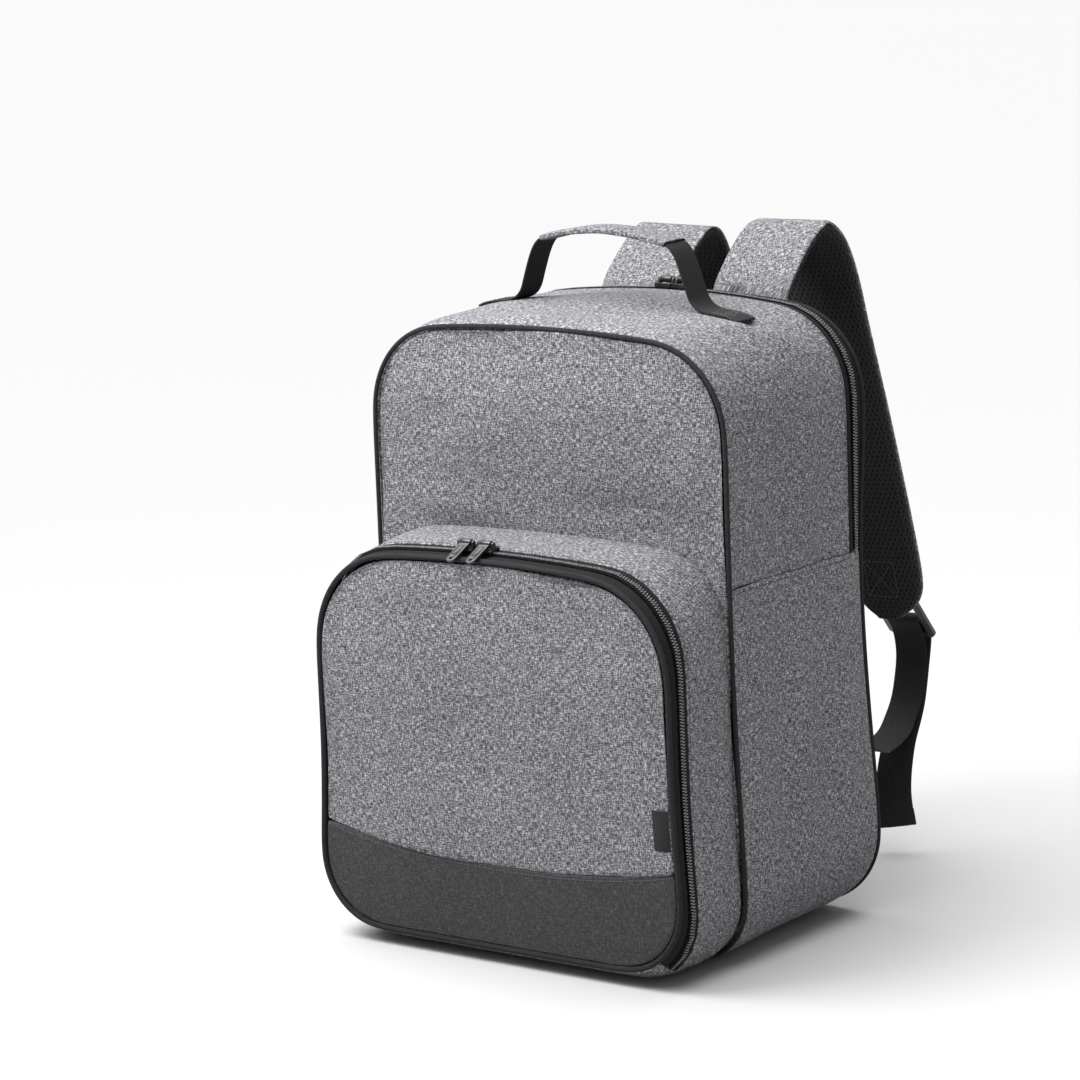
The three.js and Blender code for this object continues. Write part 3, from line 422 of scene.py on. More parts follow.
nearest = w.math("MINIMUM", hole_grid(w, scaled, 0.0), hole_grid(w, scaled, 0.5))
knit = w.span(nearest, 0.16, 0.27)
fibre = w.node("ShaderNodeGroup", {"node_tree": yarn}, Map=chart.outputs[0], Yarn=0.0005)
knit_colour = w.blend(fibre.outputs["Shade"], (0.01, 0.01, 0.0105, 1), (0.045, 0.045, 0.047, 1))
# Near black inside the holes: partly the darker layer below, partly painted shade of the holes' depth.
colour = w.blend(knit, (0.0015, 0.0015, 0.0015, 1), knit_colour)
w.put(shader, "Base Color", colour)
relief = w.node("ShaderNodeBump", Height=knit, Strength=0.8, Distance=0.0012)
fine = w.node("ShaderNodeBump", Height=fibre.outputs["Height"], Strength=0.3, Distance=0.0003)
w.put(fine, "Normal", relief.outputs["Normal"])
w.put(shader, "Normal", fine.outputs["Normal"])


# %% Plastic, metal and thread finishes
def moulded(name, colour, roughness, metallic, grain, coat=0.0):
    finish, shader = plain_finish(name, colour, roughness, metallic)
    shader.inputs["Coat Weight"].default_value = coat
    w = Wiring(finish.node_tree)
    place = w.node("ShaderNodeTexCoord")
    speck = w.noise(place.outputs["Object"], grain, 3.0)
    smear = w.noise(place.outputs["Object"], grain / 12, 2.0)
    w.put(shader, "Roughness", w.span(smear, 0.3, 0.7, roughness - 0.08, roughness + 0.1))
    light = tuple(min(1.0, c * 1.35) for c in colour)
    w.put(shader, "Base Color", w.blend(w.span(smear, 0.35, 0.65), (*colour, 1), (*light, 1)))
    relief = w.node("ShaderNodeBump", Height=speck, Strength=0.25, Distance=0.0001)
    w.put(shader, "Normal", relief.outputs["Normal"])
    return finish


buckle_plastic = moulded("buckle_plastic", (0.035, 0.036, 0.038), 0.42, 0.0, 2600)
# The coil nylon is black; its light grey colour is painted highlight, standing for the light caught on the top
# of each turn.
coil_plastic = moulded("coil_plastic", (0.16, 0.16, 0.165), 0.26, 0.0, 3000)
slider_paint = moulded("slider_paint", (0.008, 0.008, 0.009), 0.34, 0.2, 1800, coat=0.25)
dark_thread = moulded("dark_thread", (0.02, 0.02, 0.021), 0.7, 0.0, 4000)
grey_thread = moulded("grey_thread", (0.15, 0.152, 0.158), 0.7, 0.0, 4000)
dull_thread = moulded("dull_thread", (0.06, 0.06, 0.062), 0.7, 0.0, 4000)
print("finishes:", len(bpy.data.materials))

# %% [markdown]
# ## From a faceted solid to soft cloth
# Each solid is a coarse cage of its piece. A copy of it is merged, its triangles are joined back to
# quads, and the edges where the cloth is cut or sewn are creased. Subdivision then rounds the
# corners as foam does, while the creased edges stay where the seams are.


# %% Soften a copy
def copy_of(name, nodes):
    """One merged mesh from copies of the solids."""
    pieces = []
    for node in nodes:
        piece = bpy.data.objects.new(name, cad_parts[node].data.copy())
        bpy.context.scene.collection.objects.link(piece)
        pieces.append(piece)
    select_only(*pieces)
    if len(pieces) > 1:
        bpy.ops.object.join()
    piece = bpy.context.view_layer.objects.active
    piece.name = name
    bpy.ops.mesh.customdata_custom_splitnormals_clear()
    bpy.ops.object.mode_set(mode="EDIT")
    bpy.ops.mesh.select_all(action="SELECT")
    bpy.ops.mesh.remove_doubles(threshold=0.00002)
    bpy.ops.object.mode_set(mode="OBJECT")
    return piece


def use_modifier(piece, kind, **settings):
    select_only(piece)
    modifier = piece.modifiers.new(kind.lower(), kind)
    for key, value in settings.items():
        setattr(modifier, key, value)
    bpy.ops.object.modifier_apply(modifier=modifier.name)


def soften(piece, levels, crease=0.85, sharpness=50):
    select_only(piece)
    bpy.ops.object.mode_set(mode="EDIT")
    bpy.ops.mesh.select_all(action="SELECT")
    limit = math.radians(60)
    bpy.ops.mesh.tris_convert_to_quads(face_threshold=limit, shape_threshold=limit)
    bpy.ops.mesh.select_all(action="DESELECT")
    bpy.ops.mesh.select_mode(type="EDGE")
    bpy.ops.mesh.edges_select_sharp(sharpness=math.radians(sharpness))
    bpy.ops.transform.edge_crease(value=crease)
    bpy.ops.mesh.select_mode(type="VERT")
    bpy.ops.object.mode_set(mode="OBJECT")
    use_modifier(piece, "SUBSURF", levels=levels, render_levels=levels)
    bpy.ops.object.shade_smooth()
    return piece


def finish_with(piece, material, slot, *nodes, body="bag"):
    piece.data.materials.clear()
    piece.data.materials.append(material)
    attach(piece, body)
    if nodes:
        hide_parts(*nodes)
    return piece


# %% [markdown]
# ## A map for the weave
# Cloth is cut flat, so its map is the flat pattern piece. On a front panel that is simply width and
# height. The gusset runs round the bag, so its map uses the length walked along the outline, up one
# side, round the corner and over the top, and the depth of the bag.

# %% Maps
CORNER = 59 * MM
CORNER_X = 84 * MM
CORNER_Z = 345 * MM
POCKET_CORNER = (83 * MM, 205 * MM, 58 * MM)


def walked(x, z, corner_x=CORNER_X, corner_z=CORNER_Z, radius=CORNER):
    """Length along a round-cornered outline up to a point beside it."""
    beyond_x, beyond_z = abs(x) - corner_x, z - corner_z
    if beyond_z <= 0:
        return z
    if beyond_x <= 0:
        return corner_z + radius * math.pi / 2 - beyond_x
    return corner_z + radius * math.atan2(beyond_z, beyond_x)


def chart(piece, place):
    """Writes the UV map called cloth from a rule that turns a point into two lengths."""
    layer = piece.data.uv_layers.get("cloth") or piece.data.uv_layers.new(name="cloth")
    piece.data.uv_layers.active = layer
    spots = [place(v.co) for v in piece.data.vertices]
    index = np.empty(len(piece.data.loops), np.int32)
    piece.data.loops.foreach_get("vertex_index", index)
    layer.data.foreach_set("uv", np.array(spots, np.float32)[index].ravel())
    return piece


def flat_chart(co):
    return co.x, co.z


def gusset_chart(co):
    return co.y, walked(co.x, co.z) * (1 if co.x > 0 else -1)


def pocket_chart(co):
    return co.y, walked(co.x, co.z, *POCKET_CORNER) * (1 if co.x > 0 else -1)


# %% [markdown]
# ## Folds
# Real cloth over foam is never flat: it dimples at the corners of the pocket, ripples beside a tight
# seam and sags between stiff edges. Each fold here is a short line with a width and a height, and
# points near it move along their own normal. A slow noise on top keeps large faces from looking
# pressed.


# %% Fold and ripple tools
FOLD_DEPTH = 1.5


def share_along(point, start, end):
    line = end - start
    share = max(0.0, min(1.0, (point - start).dot(line) / line.length_squared))
    return share, (point - start - line * share).length


def fold(piece, folds):
    """Each fold is start, end, width and height, all in millimetres. A negative height is a dent."""
    rows = [(Vector(a) * MM, Vector(b) * MM, wide * MM, high * FOLD_DEPTH * MM) for a, b, wide, high in folds]
    moves = []
    for v in piece.data.vertices:
        move = 0.0
        for start, end, width, height in rows:
            share, gap = share_along(v.co, start, end)
            if gap < 3 * width:
                taper = 0.25 + 0.75 * math.sin(math.pi * min(1, max(0, share)))
                move += height * taper * math.exp(-((gap / width) ** 2))
        moves.append(v.normal * move)
    for v, move in zip(piece.data.vertices, moves):
        v.co += move
    piece.data.update()


def ripple(piece, height, size, stretch=(1, 1, 1), keep=lambda co: 1.0, seed=0):
    """Slow waves over the whole piece, longer where stretch is small."""
    offset = Vector((seed * 7.3, seed * 3.1, seed * 5.7))
    moves = []
    for v in piece.data.vertices:
        spot = Vector(a * b / (size * MM) for a, b in zip(v.co, stretch)) + offset
        moves.append(v.normal * (noise.noise(spot) * height * MM * keep(v.co)))
    for v, move in zip(piece.data.vertices, moves):
        v.co += move
    piece.data.update()


print("tools are ready")

# %% [markdown]
# ## Main body
# The body has a front panel, a gusset that runs all round in an upper and a lower part, and a back
# panel. The upper gusset holds the long zip. The foam makes each panel stand a little proud between
# its seams, and the side has the upright ripples of cloth that was sewn to a stiffer edge.


# %% Front panel and gussets
def away_from_edges(low, high, margin):
    """How far a depth is from both seams, from 0 at them to 1 beyond the margin."""
    def keep(co):
        return max(0.0, min(1.0, (co.y - low) / margin, (high - co.y) / margin))
    return keep


front = soften(copy_of("front_panel_cloth", ["main_front_panel"]), 3)
chart(front, flat_chart)
ripple(front, 3.0, 75, seed=1)
fold(front, [
    ((-115, -80, 288), (-20, -84, 280), 11, 1.8),
    ((20, -84, 292), (118, -80, 284), 12, -2.2),
    ((-20, -85, 374), (90, -83, 362), 20, 1.4),
    ((112, -80, 296), (124, -80, 348), 9, 1.5),
    ((-118, -80, 330), (-60, -84, 352), 14, -1.2),
])
finish_with(front, heather, "heather_fabric", "main_front_panel")

side_low, side_high = -75 * MM, 59 * MM
upper = soften(copy_of("upper_gusset_cloth", ["main_upper_gusset"]), 3)
chart(upper, gusset_chart)
ripple(upper, 2.6, 45, (1, 1, 0.35), away_from_edges(side_low, side_high, 12 * MM), seed=2)
fold(upper, [
    ((140, -60, 262), (142, -40, 345), 8, 1.6),
    ((142, -22, 255), (142, -14, 330), 7, -1.5),
    ((142, 4, 258), (143, 16, 352), 8, 1.5),
    ((142, 28, 250), (142, 38, 320), 7, -1.4),
    ((96, -30, 408), (132, 30, 388), 9, 1.6),
    ((96, 0, 408), (120, 6, 400), 7, -2.0),
    ((-96, 0, 408), (-120, 6, 400), 7, -2.0),
    ((-60, -40, 413), (40, -36, 413), 13, -1.4),
    ((-142, -40, 262), (-142, -20, 345), 9, 1.5),
    ((-142, 10, 255), (-142, 18, 330), 8, -1.5),
])
finish_with(upper, heather, "heather_fabric", "main_upper_gusset")

lower = soften(copy_of("lower_gusset_cloth", ["main_lower_gusset"]), 3)
chart(lower, gusset_chart)
ripple(lower, 2.6, 45, (1, 1, 0.3), lambda co: min(1.0, max(0.0, (co.z - 0.02) / 0.05)), seed=3)
fold(lower, [
    ((146, -58, 60), (143, -50, 236), 9, 1.5),
    ((147, -30, 40), (142, -22, 240), 9, -1.7),
    ((148, -4, 36), (142, -2, 238), 10, 1.9),
    ((148, 22, 34), (143, 22, 236), 9, -1.6),
    ((147, 48, 40), (142, 42, 236), 9, 1.4),
    ((-146, -50, 60), (-143, -40, 236), 10, 1.6),
    ((-148, -14, 36), (-142, -4, 238), 10, -1.7),
    ((-148, 26, 34), (-143, 22, 236), 10, 1.6),
])
finish_with(lower, heather, "heather_fabric", "main_lower_gusset")

# %% Back panel
rear = soften(copy_of("back_panel_mesh", ["main_back_panel"]), 3)
chart(rear, flat_chart)
finish_with(rear, air_mesh, "air_mesh", "main_back_panel")


# %% Piping
def cord_cover(name, node, swell):
    piece = soften(copy_of(name, [node]), 2, crease=0.0)
    use_modifier(piece, "DISPLACE", strength=swell * MM, mid_level=0.0)
    chart(piece, lambda co: (walked(co.x, co.z), co.y * 2))
    return finish_with(piece, piping_cloth, "dark_fabric", node)


cord_cover("front_piping_cloth", "main_front_piping", -0.2)
cord_cover("back_piping_cloth", "main_back_piping", -0.1)
cord_cover("pocket_piping_cloth", "pocket_piping", 0.1)

# %% [markdown]
# ## Front pocket
# The pocket is a box of the same cloth, open at a zip that follows its front outline. The lower part
# of its front is a plain darker cloth, sewn over the heather with a row of stitches.

# %% Pocket
pocket_side = soften(copy_of("pocket_gusset_cloth", ["pocket_gusset"]), 3)
chart(pocket_side, pocket_chart)
ripple(pocket_side, 1.3, 45, (1, 1, 0.6), away_from_edges(-127 * MM, -78 * MM, 10 * MM), seed=5)
fold(pocket_side, [
    ((92, -82, 262), (132, -100, 240), 8, -1.8),
    ((60, -100, 270), (118, -90, 250), 8, 1.4),
    ((-20, -95, 271), (60, -110, 270), 10, -1.2),
    ((120, -122, 215), (146, -90, 190), 8, 1.5),
])
finish_with(pocket_side, heather, "heather_fabric", "pocket_gusset")
pocket_floor = soften(copy_of("pocket_base_cloth", ["pocket_base"]), 3)
chart(pocket_floor, lambda co: (co.x, co.y))
finish_with(pocket_floor, heather, "heather_fabric", "pocket_base")
pocket_front = soften(copy_of("pocket_front_cloth", ["pocket_front_panel"]), 3)
chart(pocket_front, flat_chart)
ripple(pocket_front, 2.8, 60, (1, 1, 0.6), seed=4)
fold(pocket_front, [
    ((-100, -150, 236), (-40, -152, 246), 13, 1.4),
    ((96, -150, 215), (134, -148, 176), 12, 1.6),
    ((-60, -153, 150), (40, -153, 128), 22, -1.3),
    ((60, -152, 240), (108, -150, 214), 8, -1.2),
])
finish_with(pocket_front, heather, "heather_fabric", "pocket_front_panel")
pocket_low = soften(copy_of("pocket_lower_cloth", ["pocket_lower_panel"]), 3)
chart(pocket_low, flat_chart)
finish_with(pocket_low, dark_cloth, "dark_fabric", "pocket_lower_panel")

# %% Tapes
for zip_name in ("rear", "pocket"):
    for side in ("front", "rear"):
        node = f"{zip_name}_zip_{side}_tape"
        tape = soften(copy_of(f"{node}_cloth", [node]), 2)
        chart(tape, pocket_chart if zip_name == "pocket" else gusset_chart)
        finish_with(tape, tape_cloth, "zip_tape", node)

# %% [markdown]
# ## Places along a seam
# Zip teeth and stitches follow lines on the cloth. A line is found the way a finger would find it:
# rays come in from outside and stop where they touch the piece. The touched points are then spread
# out evenly, and each gets a direction along the line and one out of the cloth.


# %% Lines on a surface
def spread(points, pitch):
    """Even steps along a broken line."""
    points = np.array(points, float)
    steps = np.linalg.norm(np.diff(points, axis=0), axis=1)
    length = np.concatenate([[0], np.cumsum(steps)])
    count = max(2, int(length[-1] / pitch))
    marks = (np.arange(count) + 0.5) * length[-1] / count
    return [Vector([np.interp(mark, length, points[:, k]) for k in range(3)]) for mark in marks]


def touch(piece, start, direction):
    hit, spot, normal, _ = piece.ray_cast(start, direction)
    return (spot, normal) if hit else None


def outline_points(piece, depth, centre_z, start=-125, end=125, count=500):
    """Points where a ring of rays at one depth touches the piece, from left over the top to right."""
    centre = Vector((0, depth, centre_z))
    found = []
    for k in range(count + 1):
        angle = math.radians(start + (end - start) * k / count)
        outward = Vector((math.sin(angle), 0, math.cos(angle)))
        hit = touch(piece, centre + outward * 0.6, -outward)
        if hit and (hit[0] - centre).dot(outward) > 0:
            found.append(hit[0])
    return found


def seats(points, pitch, outward_at):
    """Even places on a line, each with its directions along, out and across."""
    spots = spread(points, pitch)
    placed = []
    for k, spot in enumerate(spots):
        along = (spots[min(k + 1, len(spots) - 1)] - spots[max(k - 1, 0)]).normalized()
        out = outward_at(spot)
        out = (out - along * out.dot(along)).normalized()
        placed.append((spot, along, out))
    return placed


def repeat(name, pattern, places, material, slot, lift=0.0, turn=0.0, body="bag"):
    """One mesh with a copy of the pattern at each place. The pattern's X runs along and its Z out."""
    shape = np.array([v.co for v in pattern.data.vertices], float)
    faces = [list(p.vertices) for p in pattern.data.polygons]
    points, polygons = [], []
    for spot, along, out in places:
        side = out.cross(along)
        first = math.cos(turn) * along + math.sin(turn) * side
        frame_of = np.array([first, out.cross(first), out], float)
        start = len(points) * len(shape)
        points.append(shape @ frame_of + np.array(spot + out * lift))
        polygons += [[start + i for i in face] for face in faces]
    mesh = bpy.data.meshes.new(name)
    mesh.from_pydata(np.concatenate(points), [], polygons)
    piece = bpy.data.objects.new(name, mesh)
    bpy.context.scene.collection.objects.link(piece)
    select_only(piece)
    bpy.ops.object.shade_smooth()
    return finish_with(piece, material, slot, body=body)


# %% [markdown]
# ## Zip chains
# A coil zip is two springs of nylon wire, one sewn on each tape, whose turns lock together. From
# outside one sees short round bars that reach in turn from the left and the right. One bar is
# modelled from a cylinder and repeated along the zip's line. Under the bars lies the woven cord that
# the coils are sewn round.

# %% One turn of the coil
COIL_PITCH = 2.0 * MM
bpy.ops.object.select_all(action="DESELECT")
bpy.ops.mesh.primitive_cylinder_add(vertices=6, radius=0.46 * MM, depth=2.2 * MM, rotation=(math.pi / 2, 0, 0))
coil_turn = bpy.context.object
coil_turn.name = "coil_turn"
bpy.ops.object.transform_apply(rotation=True)
bpy.ops.object.mode_set(mode="EDIT")
bpy.ops.mesh.select_all(action="SELECT")
bpy.ops.mesh.bevel(offset=0.16 * MM, segments=1, affect="EDGES")
bpy.ops.object.mode_set(mode="OBJECT")
coil_turn.hide_render = True
coil_turn.hide_viewport = True
print("coil turn:", len(coil_turn.data.polygons), "faces")

# %% Chains
ZIP_CENTRES = {"rear": 300 * MM, "pocket": 140 * MM}
for zip_name, centre_z in ZIP_CENTRES.items():
    node = f"{zip_name}_zip_chain"
    low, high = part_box(node)
    middle = (low.y + high.y) / 2
    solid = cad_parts[node]
    line = outline_points(solid, middle, centre_z, -160, 160, 900)
    centre = Vector((0, middle, centre_z))
    places = seats(line, COIL_PITCH / 2, lambda spot: spot - centre)
    for k, side in enumerate(("left", "right")):
        reach = (1 if k else -1) * 1.15 * MM
        turns = [(spot + out.cross(along) * reach, along, out) for spot, along, out in places[k::2]]
        repeat(f"{zip_name}_coil_{side}", coil_turn, turns, coil_plastic, "zip_chain",
               lift=-0.75 * MM, turn=math.radians(9 if k else -9))
    core = soften(copy_of(f"{zip_name}_zip_core", [node]), 1)
    use_modifier(core, "DISPLACE", strength=-1.0 * MM, mid_level=0.0)
    chart(core, gusset_chart)
    finish_with(core, cord_cloth, "zip_chain", node)
    print(zip_name, "zip:", len(places), "turns")
bpy.data.objects.remove(coil_turn)

# %% [markdown]
# ## Sliders and pullers
# The sliders are small castings. Their solids have the right shape already, so a copy of each only
# gets its edges rounded, as paint and polishing leave them.


# %% Rounded castings
def rounded(node, material, slot, width, segments=2, body="bag", angle=35):
    piece = copy_of(f"{node}_shape", [node])
    use_modifier(
        piece, "BEVEL", width=width * MM, segments=segments, limit_method="ANGLE",
        angle_limit=math.radians(angle),
    )
    bpy.ops.object.shade_smooth_by_angle(angle=math.radians(40))
    return finish_with(piece, material, slot, node, body=body)


for zip_name in ("pocket", "rear"):
    for k in (1, 2):
        rounded(f"{zip_name}_slider_{k}", slider_paint, "slider_metal", 0.3)
        rounded(f"{zip_name}_puller_{k}", slider_paint, "slider_metal", 0.3, body=f"{zip_name}_pull_{k}")

# %% [markdown]
# ## Straps, handle and webbing
# These are ribbons. Their solids are ladders of rungs, so walking a ladder from its end gives the
# line down its middle. The line gives the cloth map, with lengths measured along the ribbon, and
# later the lines of stitches.


# %% Rungs of a ribbon
def rungs(node, start):
    """Middles and width directions along a ribbon solid, from the end that is nearest to start."""
    ruler = copy_of("ruler", [node])
    mesh = bmesh.new()
    mesh.from_mesh(ruler.data)
    near = sorted(mesh.verts, key=lambda v: (v.co - Vector(start) * MM).length)
    row, seen, found = set(near[:4]), set(near[:4]), []
    while row:
        points = [v.co.copy() for v in row]
        middle = sum(points, Vector()) / len(points)
        far = max(points, key=lambda p: (p - points[0]).length)
        near_far = [p for p in points if (p - far).length < (p - points[0]).length]
        near_first = [p for p in points if p not in near_far]
        width = sum(near_far, Vector()) / len(near_far) - sum(near_first, Vector()) / max(1, len(near_first))
        if found and width.dot(found[-1][1]) < 0:
            width = -width
        found.append((middle, width.normalized()))
        row = {e.other_vert(v) for v in row for e in v.link_edges} - seen
        seen |= row
    mesh.free()
    bpy.data.objects.remove(ruler)
    return found


def ribbon_chart(piece, ladder):
    """Writes the cloth map of a ribbon: across it and along it."""
    layer = piece.data.uv_layers.get("cloth") or piece.data.uv_layers.new(name="cloth")
    piece.data.uv_layers.active = layer
    middles = np.array([m for m, _ in ladder], float)
    widths = np.array([w for _, w in ladder], float)
    steps = np.diff(middles, axis=0)
    lengths = np.linalg.norm(steps, axis=1)
    starts = np.concatenate([[0], np.cumsum(lengths)])[:-1]
    points = np.array([v.co for v in piece.data.vertices], float)
    offset = points[:, None, :] - middles[None, :-1, :]
    share = np.clip((offset * steps).sum(2) / (lengths ** 2), 0, 1)
    gap = np.linalg.norm(offset - share[..., None] * steps, axis=2)
    best = gap.argmin(1)
    rows = np.arange(len(points))
    along = starts[best] + share[rows, best] * lengths[best]
    outs = np.cross(widths[:-1], steps / lengths[:, None])
    across = ((points - middles[best]) * (widths[best] + outs[best])).sum(1)
    spots = np.stack([across, along], 1).astype(np.float32)
    index = np.empty(len(piece.data.loops), np.int32)
    piece.data.loops.foreach_get("vertex_index", index)
    layer.data.foreach_set("uv", spots[index].ravel())
    return piece


# %% Shoulder straps
SIDES = {"right": 1, "left": -1}
strap_ladders, strap_covers, strap_pads = {}, {}, {}
for side, sign in SIDES.items():
    ladder = rungs(f"{side}_strap_cover", (45 * sign, 79, 378))
    cover = soften(copy_of(f"{side}_strap_cloth", [f"{side}_strap_cover"]), 3, crease=0.6)
    ribbon_chart(cover, ladder)
    finish_with(cover, heather, "heather_fabric", f"{side}_strap_cover")
    pad = soften(copy_of(f"{side}_strap_foam", [f"{side}_strap_pad"]), 3, crease=0.3)
    ribbon_chart(pad, ladder)
    finish_with(pad, air_mesh, "air_mesh", f"{side}_strap_pad")
    strap_ladders[side], strap_covers[side], strap_pads[side] = ladder, cover, pad
    print(side, "strap:", len(ladder), "rungs")

# %% Handle
handle_ladder = rungs("handle_webbing", (106, 6, 405))
handle = soften(copy_of("handle_strap", ["handle_webbing"]), 2, crease=0.7)
ribbon_chart(handle, handle_ladder)
finish_with(handle, webbing, "webbing", "handle_webbing")
grip = soften(copy_of("handle_sleeve", ["handle_grip"]), 3, crease=0.35)
ribbon_chart(grip, handle_ladder)
ripple(grip, 0.8, 14, (0.5, 1, 1), seed=6)
finish_with(grip, heather, "heather_fabric", "handle_grip")

# %% Adjusting webbing and its fittings
webbing_ladders, webbings = {}, {}
for side, sign in SIDES.items():
    node = f"{side}_adjusting_webbing"
    ladder = rungs(node, (121 * sign, 79, 146))
    strip = soften(copy_of(f"{side}_webbing", [node]), 2, crease=0.7)
    ribbon_chart(strip, ladder)
    finish_with(strip, webbing, "webbing", node)
    webbing_ladders[side], webbings[side] = ladder, strip
    tab = rounded(f"{side}_lock_tab", webbing, "webbing", 0.4)
    ribbon_chart(tab, strap_ladders[side])
    lock = rounded(f"{side}_ladder_lock", buckle_plastic, "buckle_plastic", 0.7, segments=3)
    patch = rounded(f"{side}_anchor_patch", dark_cloth, "dark_fabric", 0.6)
    chart(patch, flat_chart)
    print(side, "webbing:", len(ladder), "rungs")

# %% Label
tag = rounded("blank_label", label_cloth, "webbing", 0.2)
chart(tag, flat_chart)

# %% [markdown]
# ## Stitches
# A row of lockstitch shows as short threads that dip into the cloth at both ends. One thread is a
# small ball, stretched and bent down at its ends, and every row repeats it. The rows beside the zips
# hold the tapes, those on the straps bind their edges, and boxes with a cross hold the handle and
# the webbing.

# %% One stitch
STITCH_LENGTH = 2.9 * MM
bpy.ops.object.select_all(action="DESELECT")
bpy.ops.mesh.primitive_uv_sphere_add(segments=8, ring_count=6, radius=0.5 * MM, rotation=(0, math.pi / 2, 0))
stitch = bpy.context.object
stitch.name = "stitch_thread"
bpy.ops.object.transform_apply(rotation=True)
bpy.ops.object.mode_set(mode="EDIT")
bpy.ops.mesh.select_all(action="SELECT")
bpy.ops.transform.resize(value=(2.3, 0.62, 0.5))
bpy.ops.object.mode_set(mode="OBJECT")
for v in stitch.data.vertices:
    v.co.z -= 0.3 * MM * (v.co.x / (STITCH_LENGTH / 2)) ** 2
stitch.hide_render = True
stitch.hide_viewport = True
print("stitch:", len(stitch.data.polygons), "faces")


# %% Rows of stitches
def sew(name, points, material, slot, outward_at, lift=0.1, pitch=STITCH_LENGTH):
    return repeat(name, stitch, seats(points, pitch, outward_at), material, slot, lift=lift * MM)


def drop(piece, points, direction):
    """The points moved along a direction until they touch the piece."""
    direction = Vector(direction)
    found = [touch(piece, Vector(p) - direction * 0.05, direction) for p in points]
    return [hit[0] for hit in found if hit]


def between(start, end, count=60):
    start, end = Vector(start), Vector(end)
    return [start.lerp(end, k / count) for k in range(count + 1)]


front_out = lambda spot: Vector((0, -1, 0))
seam_line = []
panel_low, panel_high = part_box("pocket_lower_panel")
half = panel_high.x - 3 * MM
for k in range(121):
    share = k / 60 - 1
    height = 67 + 12 * abs(share) ** 2.5 - 2.6
    seam_line.append((share * half, -150 * MM, height * MM))
sew("lower_panel_stitches", drop(pocket_low, seam_line, (0, 1, 0)), dull_thread, "dark_fabric", front_out)

for zip_name, gap, piece in (("pocket", 2.2, pocket_side), ("rear", -2.2, upper)):
    low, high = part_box(f"{zip_name}_zip_rear_tape" if gap > 0 else f"{zip_name}_zip_front_tape")
    depth = (high.y if gap > 0 else low.y) + gap * MM
    line = outline_points(piece, depth, ZIP_CENTRES[zip_name], -100, 100, 400)
    centre = Vector((0, depth, ZIP_CENTRES[zip_name]))
    sew(f"{zip_name}_zip_stitches", line, dark_thread, "heather_fabric", lambda spot: spot - centre)

for side, sign in SIDES.items():
    x = sign * 142 * MM
    for level, piece, pitch in ((247.4, upper, 1.5 * MM), (244.0, lower, STITCH_LENGTH)):
        line = drop(piece, between((x, -72 * MM, level * MM), (x, 58 * MM, level * MM)), (-sign, 0, 0))
        sew(f"{side}_side_seam_{piece.name[:5]}", line, dark_thread, "heather_fabric",
            lambda spot: Vector((sign, 0, 0)), pitch=pitch)


# %% Stitches on ribbons
RAY_REACH = 12 * MM
WIDEST_STEP = 28 * MM


def ribbon_line(ladder, across, start=0.0, end=1.0, lift=0.0):
    """A line along a ribbon, at a distance from its middle."""
    first, last = int(start * (len(ladder) - 1)), int(end * (len(ladder) - 1))
    line = []
    for k in range(first, last + 1):
        middle, width = ladder[k]
        ahead = (ladder[min(k + 1, len(ladder) - 1)][0] - ladder[max(k - 1, 0)][0]).normalized()
        line.append((middle + width * across * MM, width.cross(ahead)))
    return line


def sew_ribbon(name, piece, line, side, material, slot):
    """Stitches along the longest unbroken row of touches by rays from one face of a ribbon."""
    runs = [[]]
    for point, out in line:
        out = out * side
        hit = touch(piece, point + out * RAY_REACH, -out)
        if not hit or (hit[0] - point).length > RAY_REACH:
            runs.append([])
            continue
        if runs[-1] and (hit[0] - runs[-1][-1][0]).length > WIDEST_STEP:
            runs.append([])
        runs[-1].append((hit[0], out))
    found = max(runs, key=len)
    if len(found) < 3:
        return None
    spots = [spot for spot, _ in found]
    outs = np.array([out for _, out in found], float)

    def outward(spot):
        near = min(range(len(spots)), key=lambda k: (spots[k] - spot).length)
        return Vector(outs[near])

    return sew(name, spots, material, slot, outward)


def outer_side(ladder, towards):
    middle, width = ladder[len(ladder) // 2]
    ahead = ladder[len(ladder) // 2 + 1][0] - middle
    return 1 if width.cross(ahead).dot(Vector(towards)) > 0 else -1


for side in SIDES:
    ladder = strap_ladders[side]
    facing = outer_side(ladder, (0, 1, 0))
    for edge in (-1, 1):
        line = ribbon_line(ladder, edge * 26.5, 0.0, 0.86)
        sew_ribbon(f"{side}_strap_stitches_{'outer' if edge > 0 else 'inner'}", strap_covers[side], line, facing,
                   grey_thread, "heather_fabric")
        sew_ribbon(f"{side}_pad_stitches_{'outer' if edge > 0 else 'inner'}", strap_pads[side], line, -facing,
                   dark_thread, "air_mesh")
print("stitches are on the straps")


# %% Stitched boxes
def ladder_length(ladder):
    return sum((b[0] - a[0]).length for a, b in zip(ladder, ladder[1:]))


def ribbon_spot(ladder, across, along):
    """The place on a ribbon at a distance from its middle and a length from its start."""
    left = along * MM
    for (a, width), (b, _) in zip(ladder, ladder[1:]):
        step = (b - a).length
        if left <= step:
            break
        left -= step
    ahead = (b - a).normalized()
    return a + ahead * left + width * across * MM, width.cross(ahead)


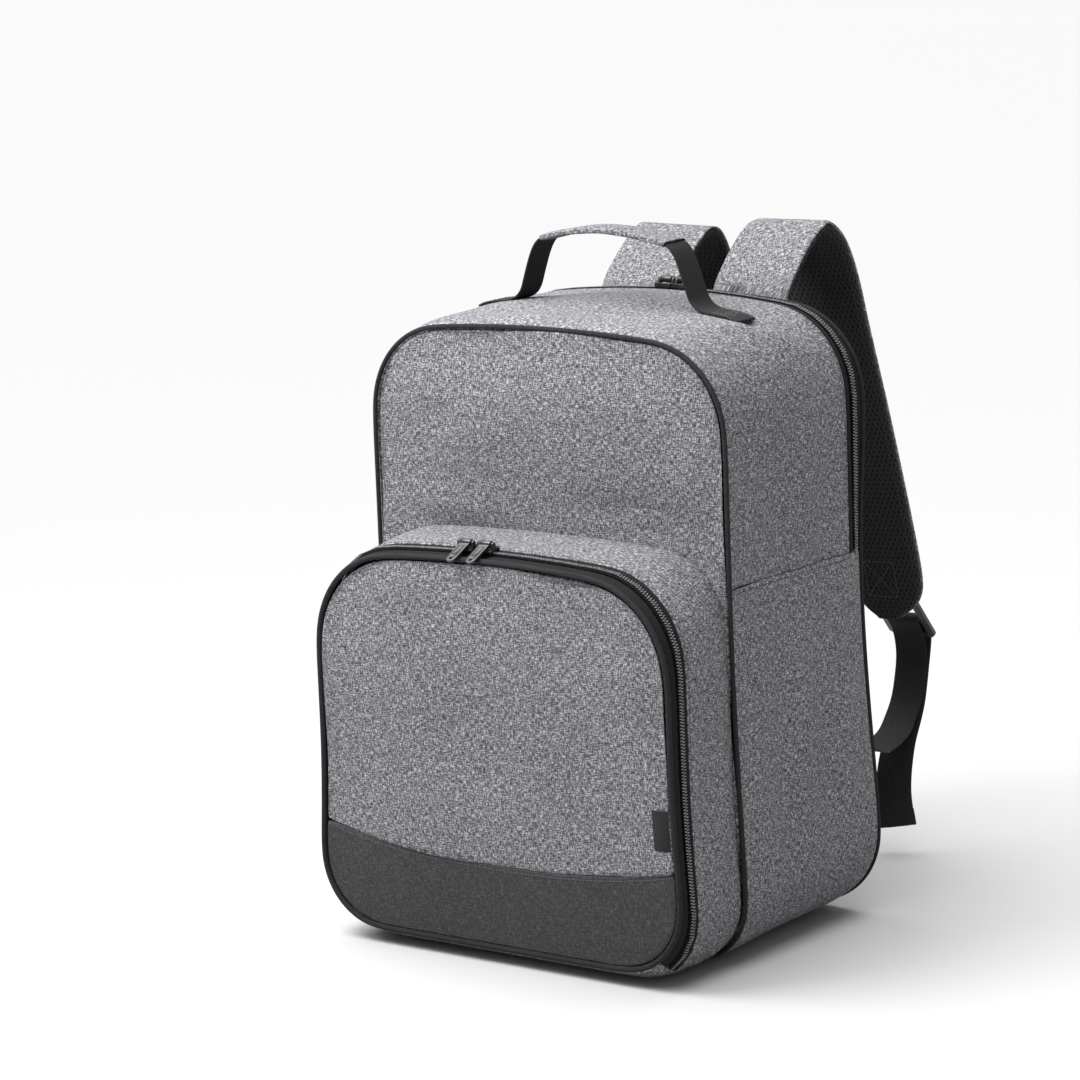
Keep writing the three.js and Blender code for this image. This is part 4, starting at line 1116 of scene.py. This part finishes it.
def sew_box(name, piece, ladder, side, half, start, end, material, slot):
    """A square of stitches with a cross in it."""
    corners = [(-half, start), (half, start), (half, end), (-half, end)]
    for k, order in enumerate(((0, 1, 2, 3, 0, 2), (1, 3))):
        line = []
        for a, b in zip(order, order[1:]):
            for i in range(16):
                share = i / 15
                across = corners[a][0] + (corners[b][0] - corners[a][0]) * share
                along = corners[a][1] + (corners[b][1] - corners[a][1]) * share
                line.append(ribbon_spot(ladder, across, along))
        sew_ribbon(f"{name}_{k + 1}", piece, line, side, material, slot)


handle_side = outer_side(handle_ladder, (0, 0, 1))
handle_reach = ladder_length(handle_ladder) / MM
sew_box("right_handle_box", handle, handle_ladder, handle_side, 8.5, 3, 32, dull_thread, "webbing")
sew_box("left_handle_box", handle, handle_ladder, handle_side, 8.5, handle_reach - 32, handle_reach - 3,
        dull_thread, "webbing")
for side in SIDES:
    ladder = strap_ladders[side]
    reach = ladder_length(ladder) / MM
    facing = outer_side(ladder, (0, 1, 0))
    sew_box(f"{side}_pad_box", strap_pads[side], ladder, -facing, 12, reach - 43, reach - 17, dull_thread,
            "air_mesh")
    sew_box(f"{side}_cover_box", strap_covers[side], ladder, facing, 13, reach - 45, reach - 17, dark_thread,
            "heather_fabric")

# %% Hems of the webbing tails
HEM = (25.6, 13, 1.7)
for side in SIDES:
    ladder = webbing_ladders[side]
    (end, width), (before, _) = ladder[-1], ladder[-2]
    ahead = (end - before).normalized()
    out = width.cross(ahead)
    bpy.ops.object.select_all(action="DESELECT")
    bpy.ops.mesh.primitive_cube_add(size=1 * MM)
    hem = bpy.context.object
    hem.name = f"{side}_tail_hem"
    bpy.ops.object.mode_set(mode="EDIT")
    bpy.ops.transform.resize(value=HEM)
    bpy.ops.object.mode_set(mode="OBJECT")
    use_modifier(hem, "BEVEL", width=0.7 * MM, segments=3)
    basis = Matrix((width, ahead, out)).transposed()
    middle = end - ahead * (HEM[1] / 2 - 0.6) * MM
    lift = out * (1.45 if out.y > 0 else -1.45) * MM
    for v in hem.data.vertices:
        v.co = basis @ v.co + middle + lift
    ribbon_chart(hem, ladder)
    select_only(hem)
    bpy.ops.object.shade_smooth()
    finish_with(hem, webbing, "webbing")
bpy.data.objects.remove(stitch)
print("hems and boxes are sewn")
